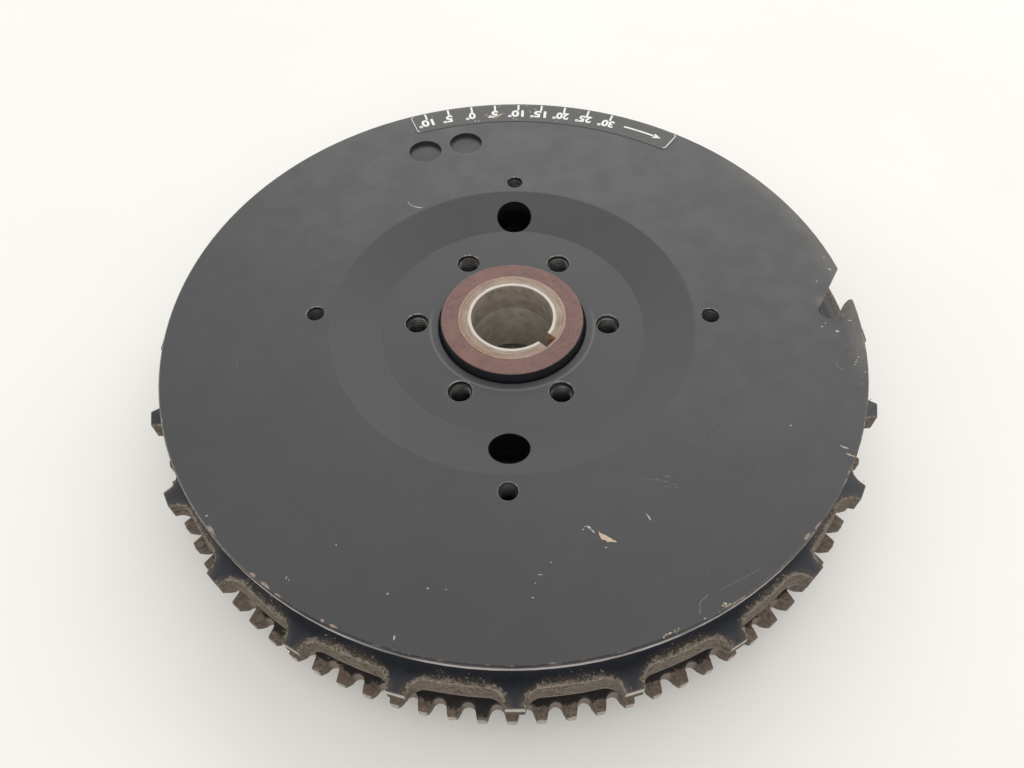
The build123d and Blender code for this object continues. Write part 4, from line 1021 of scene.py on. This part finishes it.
def label_print():
    rnd = random.Random(5)
    slab("timing_ticks", [radial_bar(a, 112.75, 116.45, 0.82, rnd) for a, _ in TICKS], M_PRINT,
         LABEL_TOP - 0.01, PRINT_Z)
    # numerals, each glyph bent into place as a flat mesh
    verts_all, faces_all = [], []
    for ang, text in TICKS:
        cu = bpy.data.curves.new("glyphs", "FONT")
        cu.body = text
        cu.size = 1.0
        cu.offset = 0.040
        cu.extrude = 0.0
        cu.resolution_u = 6
        cu.space_character = 0.98
        tmp = bpy.data.objects.new("glyphs", cu)
        scene.collection.objects.link(tmp)
        bpy.context.view_layer.update()
        me = bpy.data.meshes.new_from_object(tmp.evaluated_get(bpy.context.evaluated_depsgraph_get()))
        bpy.data.objects.remove(tmp)
        bpy.data.curves.remove(cu)
        bm = bmesh.new()
        bm.from_mesh(me)
        bmesh.ops.remove_doubles(bm, verts=bm.verts, dist=1e-5)
        bmesh.ops.dissolve_limit(bm, angle_limit=0.02, verts=bm.verts, edges=bm.edges)
        xs = [v.co.x for v in bm.verts]
        ys = [v.co.y for v in bm.verts]
        x0, x1, y0, y1 = min(xs), max(xs), min(ys), max(ys)
        ext = bmesh.ops.extrude_face_region(bm, geom=list(bm.faces))
        for e in ext["geom"]:
            if isinstance(e, bmesh.types.BMVert):
                e.co.z = 1.0
        height = 4.35
        width = 2.45 * len(text) + (0.30 if len(text) > 1 else 0.35)
        sy, sx = height / (y1 - y0), width / (x1 - x0)
        u = Vector((math.cos(ang * RAD), math.sin(ang * RAD)))
        across = Vector((-u.y, u.x))          # towards larger angles
        base_r = 112.75
        off = len(verts_all)
        for v in bm.verts:
            lx = (v.co.x - (x0 + x1) / 2) * sx + 0.25
            ly = (v.co.y - y0) * sy
            q = u * (base_r - ly)
            a_extra = lx / (base_r - ly)
            ca, sa = math.cos(a_extra), math.sin(a_extra)
            qx, qy = q.x * ca - q.y * sa, q.x * sa + q.y * ca
            verts_all.append((qx, qy, PRINT_Z if v.co.z > 0.5 else LABEL_TOP - 0.01))
        bm.verts.index_update()
        for f in bm.faces:
            faces_all.append(tuple(off + v.index for v in f.verts))
        bm.free()
        bpy.data.meshes.remove(me)
        # degree mark on the side of the larger angle, at the numerals' tops
        da = (width / 2 + 0.95) / 109.2 / RAD
        cx, cy, _ = pol(108.95, ang + da, 0)
        rv, rf = degree_ring(cx, cy, 0.28, 0.78)
        off = len(verts_all)
        verts_all += rv
        faces_all += [tuple(off + i for i in f) for f in rf]
    ob = make("timing_numerals", verts_all, faces_all, M_PRINT, smooth=False)
    bm = bmesh.new()
    bm.from_mesh(ob.data)
    bmesh.ops.recalc_face_normals(bm, faces=bm.faces)
    bm.to_mesh(ob.data)
    bm.free()

    # end lines with small hooked ends, and a plain turning arrow
    loops = []
    for a_end, r0, r1, sgn in ((112.35, 106.3, 115.9, -1), (55.55, 106.9, 115.9, 1)):
        w = 0.24 if sgn < 0 else 0.36
        loops.append(radial_bar(a_end, r0 + 0.7, r1 - 0.5, w, rnd))
        for rc, s2 in ((r0 + 0.7, -1), (r1 - 0.5, 1)):
            arc_pts_o, arc_pts_i = [], []
            for k in range(7):
                t = 90.0 * k / 6 * RAD
                for lst, rr in ((arc_pts_o, 0.9 + w / 2), (arc_pts_i, 0.9 - w / 2)):
                    dr = s2 * rr * math.sin(t)
                    dx = 0.9 - rr * math.cos(t)
                    aa = a_end + sgn * dx / rc / RAD
                    x, y, _ = pol(rc + dr, aa, 0)
                    lst.append((x, y))
            loops.append(arc_pts_o + list(reversed(arc_pts_i)))
    # arrow: an arc with a head at its end, along the label
    rc, a0, a1, w = 111.2, 66.2, 59.2, 0.85
    o, i_ = [], []
    for k in range(17):
        a = a0 + (a1 - a0) * k / 16
        o.append(pol(rc + w / 2, a, 0)[:2])
        i_.append(pol(rc - w / 2, a, 0)[:2])
    loops.append(o + list(reversed(i_)))
    loops.append([pol(rc + 1.55, a1 + 0.25, 0)[:2], pol(rc - 1.55, a1 + 0.25, 0)[:2], pol(rc, a1 - 1.45, 0)[:2]])
    slab("label_end_lines", loops, M_PRINT, LABEL_TOP - 0.01, PRINT_Z)


label_print()


# ------------------------------------------------------------------ chips, scratches and scuffs
def blob(rnd, cx, cy, length, width, angle, n=14, jag=0.35):
    """Outline of an irregular chip."""
    pts = []
    for k in range(n):
        t = 2 * math.pi * k / n
        s = 1.0 + rnd.uniform(-jag, jag)
        x = math.cos(t) * length / 2 * s
        y = math.sin(t) * width / 2 * (1.0 + rnd.uniform(-jag, jag)) * (1.0 - 0.35 * abs(math.cos(t)))
        c, s2 = math.cos(angle * RAD), math.sin(angle * RAD)
        pts.append((cx + x * c - y * s2, cy + x * s2 + y * c))
    return pts


def stroke(points, widths, rnd=None, sub=4):
    """Outline of a scratch along a polyline, with its width at each point."""
    P, W = [], []
    n = len(points)
    for i in range(n - 1):
        for k in range(sub):
            t = k / sub
            P.append(Vector(points[i]).lerp(Vector(points[i + 1]), t))
            W.append(widths[i] + (widths[i + 1] - widths[i]) * t)
    P.append(Vector(points[-1]))
    W.append(widths[-1])
    left, right = [], []
    for i, p in enumerate(P):
        d = (P[min(i + 1, len(P) - 1)] - P[max(i - 1, 0)]).normalized()
        nrm = Vector((-d.y, d.x))
        w = max(W[i], 0.02) / 2 * (1 + (rnd.uniform(-0.25, 0.25) if rnd else 0))
        left.append(tuple(p + nrm * w))
        right.append(tuple(p - nrm * w))
    return left + list(reversed(right))


def marks():
    rnd = random.Random(77)
    z0, z1 = TOP - 0.02, TOP + 0.018
    chips = [[(25.77, -79.74), (26.27, -80.45), (27.0, -80.72), (27.54, -81.0), (28.57, -81.60), (29.61, -82.30),
              (30.64, -82.93), (30.52, -83.16), (29.57, -83.05), (28.82, -82.95), (28.06, -83.19), (27.77, -82.73),
              (27.36, -82.39), (26.6, -82.44), (26.21, -81.71), (25.86, -80.9)]]
    slab("enamel_chips", chips, M_CHIP, z0, z1)
    chips = []
    # chips along the rim: angle, distance in from the rim, length, width
    for ang, ins, ln, wd in ((-136.3, 0.70, 4.6, 1.15), (-126.6, 0.55, 2.2, 1.0),
                             (-124.2, 0.5, 3.4, 0.9), (-121.8, 0.35, 2.6, 0.55), (-114.5, 0.6, 1.3, 0.8),
                             (-112.9, 0.5, 2.6, 0.8), (-67.5, 0.6, 1.3, 0.8), (-68.9, 0.7, 1.1, 0.7),
                             (-59.6, 0.55, 2.3, 0.85), (-84.0, 0.30, 1.6, 0.25), (-43.9, 0.8, 2.6, 1.3),
                             (-41.5, 0.4, 3.6, 0.5), (-31.0, 0.35, 1.6, 0.4), (-158.0, 0.35, 1.6, 0.4)):
        x, y, _ = pol(117.35 - ins, ang, 0)
        loop = blob(rnd, x, y, ln, wd, ang + 90.0)
        chips.append([(px, py) if math.hypot(px, py) < 117.2 else tuple(Vector((px, py)).normalized() * 117.2) for px, py in loop])
    slab("rim_chips", chips, M_RIMCHIP, z0, z1)

    pale = []
    for x, y, ln, wd, an in ((22.04, -78.44, 0.55, 0.4, 0), (21.42, -79.39, 0.5, 0.4, 0), (23.15, -78.75, 1.5, 0.75, -40),
                             (24.15, -79.85, 1.7, 0.55, -45), (27.62, -84.74, 0.6, 0.45, 10),
                             (-31.99, -98.69, 0.55, 0.55, 0), (-21.21, -97.05, 0.6, 0.5, 0), (-16.17, -97.36, 0.4, 0.35, 0),
                             (-28.98, -110.5, 1.6, 0.5, 85), (9.2, -92.85, 1.3, 0.3, 0), (7.89, -95.28, 0.4, 0.3, 0),
                             (7.22, -99.33, 0.75, 0.35, 0), (52.54, -104.4, 0.7, 0.35, 20), (86.32, -44.15, 0.7, 0.45, 0), (113.2, -17.59, 0.7, 0.6, 0), (111.91, -19.64, 0.6, 0.5, 0), (111.35, -20.65, 0.5, 0.4, 0),
                             (112.42, -18.82, 0.4, 0.35, 0), (114.0, -23.63, 0.6, 0.4, 60), (111.75, -28.37, 0.5, 0.3, 30),
                             (12.22, -89.23, 0.4, 0.35, 0), (112.3, 21.4, 1.3, 0.7, -35), (106.53, 15.64, 0.7, 0.5, 20),
                             (104.07, -4.85, 0.8, 0.7, 0), (108.74, -6.8, 1.1, 0.8, -10), (113.95, -2.15, 1.3, 0.5, 0),
                             (105.57, -3.32, 0.6, 0.5, 0), (111.42, 27.14, 0.6, 0.5, 0), (-86.57, -76.24, 0.9, 0.5, 20),
                             (-47.94, -84.77, 0.5, 0.4, 0), (-60.19, -94.16, 0.35, 0.3, 0)):
        pale.append(blob(rnd, x, y, ln, wd, an, 10, 0.25))
    pale.append(stroke([(39.48, -74.03), (40.06, -74.98), (40.43, -75.69), (40.77, -76.36)], (0.05, 0.30, 0.50, 0.20), rnd))
    # short arc scratch on the far left of the dish
    pale.append(stroke([(-40.95, 56.2), (-40.1, 54.7), (-38.5, 53.5), (-36.7, 52.95), (-35.0, 52.75)],
                       (0.10, 0.24, 0.30, 0.52, 0.36), rnd))
    pale.append(stroke([(99.93, -50.97), (100.52, -51.67), (101.64, -52.0), (102.1, -52.3)], (0.22, 0.50, 0.42, 0.15), rnd))
    slab("pale_scuffs", pale, M_SCUFF, z0, z1)
    cream = []
    for x, y, ln, wd, an in ((58.5, -100.4, 1.3, 0.7, -20), (57.7, -100.9, 0.6, 0.4, 0), (44.51, -107.68, 1.0, 0.6, 20), (45.4, -107.2, 0.4, 0.3, 0),
                             (43.01, -108.39, 0.9, 0.45, 30), (41.3, -109.5, 0.4, 0.8, 0), (42.2, -108.7, 0.3, 0.3, 0),
                             (101.7, -54.25, 1.7, 0.7, -28), (102.9, -54.8, 1.0, 0.5, -30), (-60.2, -94.6, 0.5, 0.35, 0), (-59.4, -95.1, 0.4, 0.3, 0)):
        cream.append(blob(rnd, x, y, ln, wd, an, 12, 0.45))
    slab("cream_chips", cream, M_CREAM, z0, z1)

    faint = []
    faint.append(stroke([(105.35, -19.48), (105.75, -21.29), (106.4, -22.2), (107.32, -22.89)], (0.12, 0.30, 0.30, 0.12), rnd))
    for x0, y0, x1, y1, w in ((45.85, -62.17, 47.65, -62.15, 0.34), (43.06, -63.18, 44.16, -63.38, 0.30),
                              (38.83, -62.74, 45.01, -63.87, 0.14), (45.3, -63.95, 47.02, -63.91, 0.30),
                              (48.28, -64.8, 49.16, -64.84, 0.36), (45.31, -65.51, 47.31, -65.56, 0.20),
                              (48.62, -65.8, 49.96, -65.79, 0.26)):
        faint.append(stroke([(x0, y0), ((x0 + x1) / 2, (y0 + y1) / 2 + 0.05), (x1, y1)], (w * 0.4, w, w * 0.5), rnd))
    faint.append(stroke([(54.2, -97.6), (53.4, -98.8), (52.33, -99.44), (51.57, -100.7), (51.77, -101.32), (51.42, -102.41), (51.49, -103.34)],
                        (0.10, 0.30, 0.22, 0.34, 0.20, 0.34, 0.22), rnd))
    for k in range(4):
        faint.append(stroke([(57.0 + k * 3.0, -96.9 + k * 1.5), (60.0 + k * 3.0, -95.4 + k * 1.6)], (0.08, 0.16), rnd))
    for _ in range(34):
        r = 112.0 * math.sqrt(rnd.random())
        if r < 64:
            continue
        a = rnd.uniform(-180, 180)
        if r > 103 and 52 < a < 116:
            continue
        x, y, _ = pol(r, a, 0)
        b = rnd.uniform(0, 360)
        ln = rnd.choice((1.2, 2.0, 3.0, 5.0, 8.0))
        dx, dy = math.cos(b * RAD) * ln / 2, math.sin(b * RAD) * ln / 2
        w = rnd.uniform(0.06, 0.15)
        c = rnd.uniform(-0.12, 0.12) * ln
        faint.append(stroke([(x - dx, y - dy), (x - dy * c / ln, y + dx * c / ln), (x + dx, y + dy)], (w * 0.3, w, w * 0.3), rnd))
    slab("faint_scratches", faint, M_FAINT, z0, TOP + 0.012)

    # cream scuff over one numeral, with smaller ones near it
    z0, z1 = LABEL_TOP - 0.02, PRINT_Z + 0.014
    sc = []
    for a, r, ln, wd, an in ((94.1, 109.2, 2.6, 1.5, 30), (94.9, 108.3, 2.0, 1.0, 60), (93.4, 110.3, 1.6, 0.8, 10),
                             (95.3, 109.6, 0.9, 0.7, 0), (96.6, 110.3, 1.2, 0.8, 40), (96.2, 109.2, 0.8, 0.6, 0),
                             (92.6, 110.8, 1.0, 0.35, 20), (99.2, 106.9, 0.5, 1.3, 10), (98.4, 106.6, 0.9, 0.6, 0),
                             (90.6, 107.3, 0.6, 1.0, 30), (89.9, 106.6, 0.9, 0.4, 0), (87.0, 111.9, 0.5, 1.6, 10),
                             (86.0, 113.9, 1.5, 0.5, -10), (93.6, 115.6, 0.9, 0.7, 30), (87.8, 116.0, 0.7, 0.4, 0),
                             (108.0, 114.4, 1.7, 0.25, -20), (80.9, 106.9, 0.5, 0.5, 0), (76.5, 114.5, 0.6, 0.3, 0)):
        x, y, _ = pol(r, a, 0)
        sc.append(blob(rnd, x, y, ln, wd, an, 12, 0.42))
    slab("label_scuffs", sc, M_CREAM, z0, z1)


marks()


# ------------------------------------------------------------------ grime crust on the scallops
def body_tree():
    me = nodes["rotor_body"].data
    co = [tuple(v.co * 1000.0) for v in me.vertices]
    me.calc_loop_triangles()
    return BVHTree.FromPolygons([Vector(c) for c in co], [tuple(t.vertices) for t in me.loop_triangles])


def build_crust():
    tree = body_tree()
    z_top, z_bot = TOP - 13.23, TOP - 20.1
    near_side = lambda a: math.exp(-(((a + 90.0 + 180.0) % 360.0 - 180.0) / 48.0) ** 2)
    rnd = random.Random(24)
    verts, faces = [], []
    rows = (z_top - 0.05, z_top - 0.45, z_top - 1.0, z_top - 1.8, z_top - 2.7, z_top - 3.6, z_top - 4.5, z_top - 5.5, z_bot + 0.25)
    for s in range(24):
        centre = LUG_PHASE + LUG_STEP / 2 + s * LUG_STEP
        cu = Vector((math.cos(centre * RAD), math.sin(centre * RAD), 0))
        cols = []

        def ray(r, da, ddeg, z):
            """From (r, centre + da) towards ddeg away from straight inward; positive turns towards larger angles."""
            o = Vector(pol(r, centre + da, z))
            inward = Vector((-math.cos((centre + da) * RAD), -math.sin((centre + da) * RAD), 0))
            c, sn = math.cos(-ddeg * RAD), math.sin(-ddeg * RAD)
            d = Vector((inward.x * c - inward.y * sn, inward.x * sn + inward.y * c, 0))
            hit, normal, idx, dist = tree.ray_cast(o, d, 14.0)
            return (hit, normal) if hit is not None else None

        plan = []
        for k in range(4):
            plan.append((124.45 - k * 0.10, -3.60, -90.0))
        for k in range(1, 15):
            plan.append((124.1, -3.60, -90.0 + 6.0 * k))
        for k in range(0, 35):
            plan.append((124.1, -3.60 + 7.2 * k / 34, 0.0))
        for k in range(1, 15):
            plan.append((124.1, 3.60, 6.0 * k))
        for k in range(4):
            plan.append((124.15 + k * 0.10, 3.60, 90.0))
        for r, da, dd in plan:
            col = []
            ok = True
            for z in rows:
                h = ray(r, da, dd, z)
                if h is None:
                    ok = False
                    break
                col.append(h)
            if ok:
                cols.append(col)
        if len(cols) < 20:
            continue
        base = len(verts)
        m = len(rows) + 5
        n_cols = len(cols)
        for ci, col in enumerate(cols):
            top_hit, top_n = col[0]
            n2 = Vector((top_n.x, top_n.y, 0)).normalized()
            if n2.dot(Vector((top_hit.x, top_hit.y, 0)).normalized()) < -0.5:
                n2 = -n2
            fade_end = min(1.0, ci / 6.0, (n_cols - 1 - ci) / 6.0)
            front = near_side(centre)
            x, y = top_hit.x, top_hit.y
            creep = 0.18 + 0.9 * max(0.0, nz(x, y, s, 0.35, 7.0) + 0.30) + 1.3 * max(0.0, nz(x, y, s, 1.3, 17.0))
            creep *= 0.35 + 1.45 * front
            creep *= 0.25 + 0.75 * fade_end
            thick = (0.09 + 0.14 * (nz(x, y, s, 0.6, 27.0) + 0.5)) * (0.15 + 0.85 * fade_end) * (0.6 + 0.55 * front)
            thick = max(0.02, thick)
            # over the flange: feathered edge, body, shoulder
            for frac, h in ((1.0, -0.03), (0.86, 0.35), (0.45, 0.8), (0.0, 0.75)):
                p = top_hit - n2 * creep * frac
                hh = thick * h if h > 0 else h
                if h > 0:
                    hh *= 1.0 + 0.7 * nz(p.x, p.y, s, 1.9, 37.0)
                verts.append((p.x, p.y, z_top + hh))
            for ri, (hit, nn) in enumerate(col):
                nn = Vector((nn.x, nn.y, 0)).normalized()
                if nn.dot(n2) < 0:
                    nn = -nn
                t = thick * (0.85 + 1.1 * nz(hit.x, hit.y, hit.z, 0.7, 47.0) + 0.9 * nz(hit.x, hit.y, hit.z, 1.7, 57.0))
                t = max(0.015, t)
                if ri == len(col) - 1:
                    t = 0.012
                p = hit + nn * t
                verts.append((p.x, p.y, hit.z))
            hit, nn = col[-1]
            nn = Vector((nn.x, nn.y, 0)).normalized()
            if nn.dot(n2) < 0:
                nn = -nn
            p = hit - nn * 0.05
            verts.append((p.x, p.y, hit.z))
        for ci in range(n_cols - 1):
            for k in range(m - 1):
                a, b = base + ci * m + k, base + (ci + 1) * m + k
                faces.append((a, a + 1, b + 1, b))
    ob = make("scallop_grime", verts, faces, M_CRUST, angle=60)
    bm = bmesh.new()
    bm.from_mesh(ob.data)
    bmesh.ops.recalc_face_normals(bm, faces=bm.faces)
    up = sum(1 if f.normal.z > 0 else -1 for f in bm.faces if abs(f.normal.z) > 0.8)
    if up < 0:
        bmesh.ops.reverse_faces(bm, faces=bm.faces)
    bm.to_mesh(ob.data)
    bm.free()
    return ob


build_crust()


def lump(rnd, cx, cy, cz, rad, flat):
    """One irregular grain: a rounded, squashed and knocked-about cage of three rings and two poles."""
    v, f = [], []
    spin = rnd.uniform(0, 360)
    stretch = rnd.uniform(0.7, 1.5)
    for zf, rf in ((-0.2, 0.85), (0.35, 1.0), (0.8, 0.6)):
        for k in range(6):
            a = (60.0 * k + spin) * RAD
            q = rad * rf * rnd.uniform(0.75, 1.25)
            v.append((cx + q * math.cos(a) * stretch, cy + q * math.sin(a) / stretch, cz + rad * flat * zf * rnd.uniform(0.8, 1.2)))
    v.append((cx, cy, cz + rad * flat * rnd.uniform(0.95, 1.15)))
    v.append((cx, cy, cz - rad * flat * 0.3))
    for r in range(2):
        for k in range(6):
            j = (k + 1) % 6
            f.append((r * 6 + k, r * 6 + j, r * 6 + 6 + j, r * 6 + 6 + k))
    for k in range(6):
        j = (k + 1) % 6
        f.append((12 + k, 12 + j, 18))
        f.append((j, k, 19))
    return v, f


def build_grains():
    """Loose grit caked on the flange beside the scallops."""
    rnd = random.Random(8)
    verts, faces = [], []
    z = TOP - 13.23
    for s in range(24):
        centre = LUG_PHASE + LUG_STEP / 2 + s * LUG_STEP
        d = (centre + 90.0 + 180.0) % 360.0 - 180.0
        n = int(16 + 70 * math.exp(-(d / 42.0) ** 2))
        for _ in range(n):
            a = rnd.uniform(-6.0, 6.0)
            back = abs(rnd.gauss(0.0, 1.0)) * (0.9 + 0.7 * math.exp(-(d / 42.0) ** 2)) + 0.1
            if abs(a) < 4.2:
                r = 119.4 - back
            else:
                # round the corner and up the lug's flank
                t = rnd.random()
                r = 119.4 + t * 4.8 - 0.2
                a = math.copysign(5.0 + 0.7 * t + back * 0.3, a)
                if abs(a) > 7.3:
                    continue
            if r < 116.2:
                continue
            x, y, _z = pol(r, centre + a, 0)
            size = rnd.choice((0.10, 0.13, 0.16, 0.22, 0.30))
            v, f = lump(rnd, x, y, z, size, rnd.uniform(0.5, 0.9))
            o = len(verts)
            verts += v
            faces += [tuple(o + i for i in q) for q in f]
    make("flange_grit", verts, faces, M_CRUST, angle=50)


build_grains()


# ------------------------------------------------------------------ stage
def floor_material():
    g = Graph("pale_floor")
    n1 = g.noise(0.006, 3.0, 0.5, seed=1.0)
    n2 = g.noise(0.05, 4.0, 0.6, seed=2.0)
    color = g.mix(g.fade(n1, 0.35, 0.65), (0.835, 0.824, 0.797, 1), (0.855, 0.845, 0.818, 1))
    color = g.mix(g.fade(n2, 0.50, 0.75, 0.0, 0.25), color, (0.83, 0.82, 0.79, 1))
    return g.shade(color, g.mixf(n2, 0.55, 0.7), 0.0, g.bump(n2, 0.1, 0.05), spec=0.25)


def make_stage():
    s = 2.6
    me = bpy.data.meshes.new("floor")
    me.from_pydata([(-s, -s, 0), (s, -s, 0), (s, s, 0), (-s, s, 0)], [], [(0, 1, 2, 3)])
    floor = bpy.data.objects.new("floor", me)
    scene.collection.objects.link(floor)
    me.materials.append(floor_material())


def area(name, loc, target, size, size_y, power, color=(1, 1, 1)):
    d = bpy.data.lights.new(name, "AREA")
    d.shape = "RECTANGLE"
    d.size, d.size_y = size, size_y
    d.energy = power
    d.color = color
    ob = bpy.data.objects.new(name, d)
    scene.collection.objects.link(ob)
    ob.location = loc
    ob.rotation_euler = (Vector(target) - Vector(loc)).to_track_quat("-Z", "Y").to_euler()
    return ob


make_stage()
world = bpy.data.worlds.new("studio")
scene.world = world
world.use_nodes = True
bg = world.node_tree.nodes["Background"]
bg.inputs["Color"].default_value = (1.0, 0.99, 0.975, 1)
bg.inputs["Strength"].default_value = 0.85
area("softbox_back", (0.35, 1.60, 1.45), (0, 0, 0.03), 2.6, 1.2, 16.5, (1.0, 0.995, 0.985))
area("softbox_front", (0.15, -1.5, 1.8), (0, -0.10, 0.0), 2.0, 1.4, 11.0, (1.0, 0.985, 0.965))
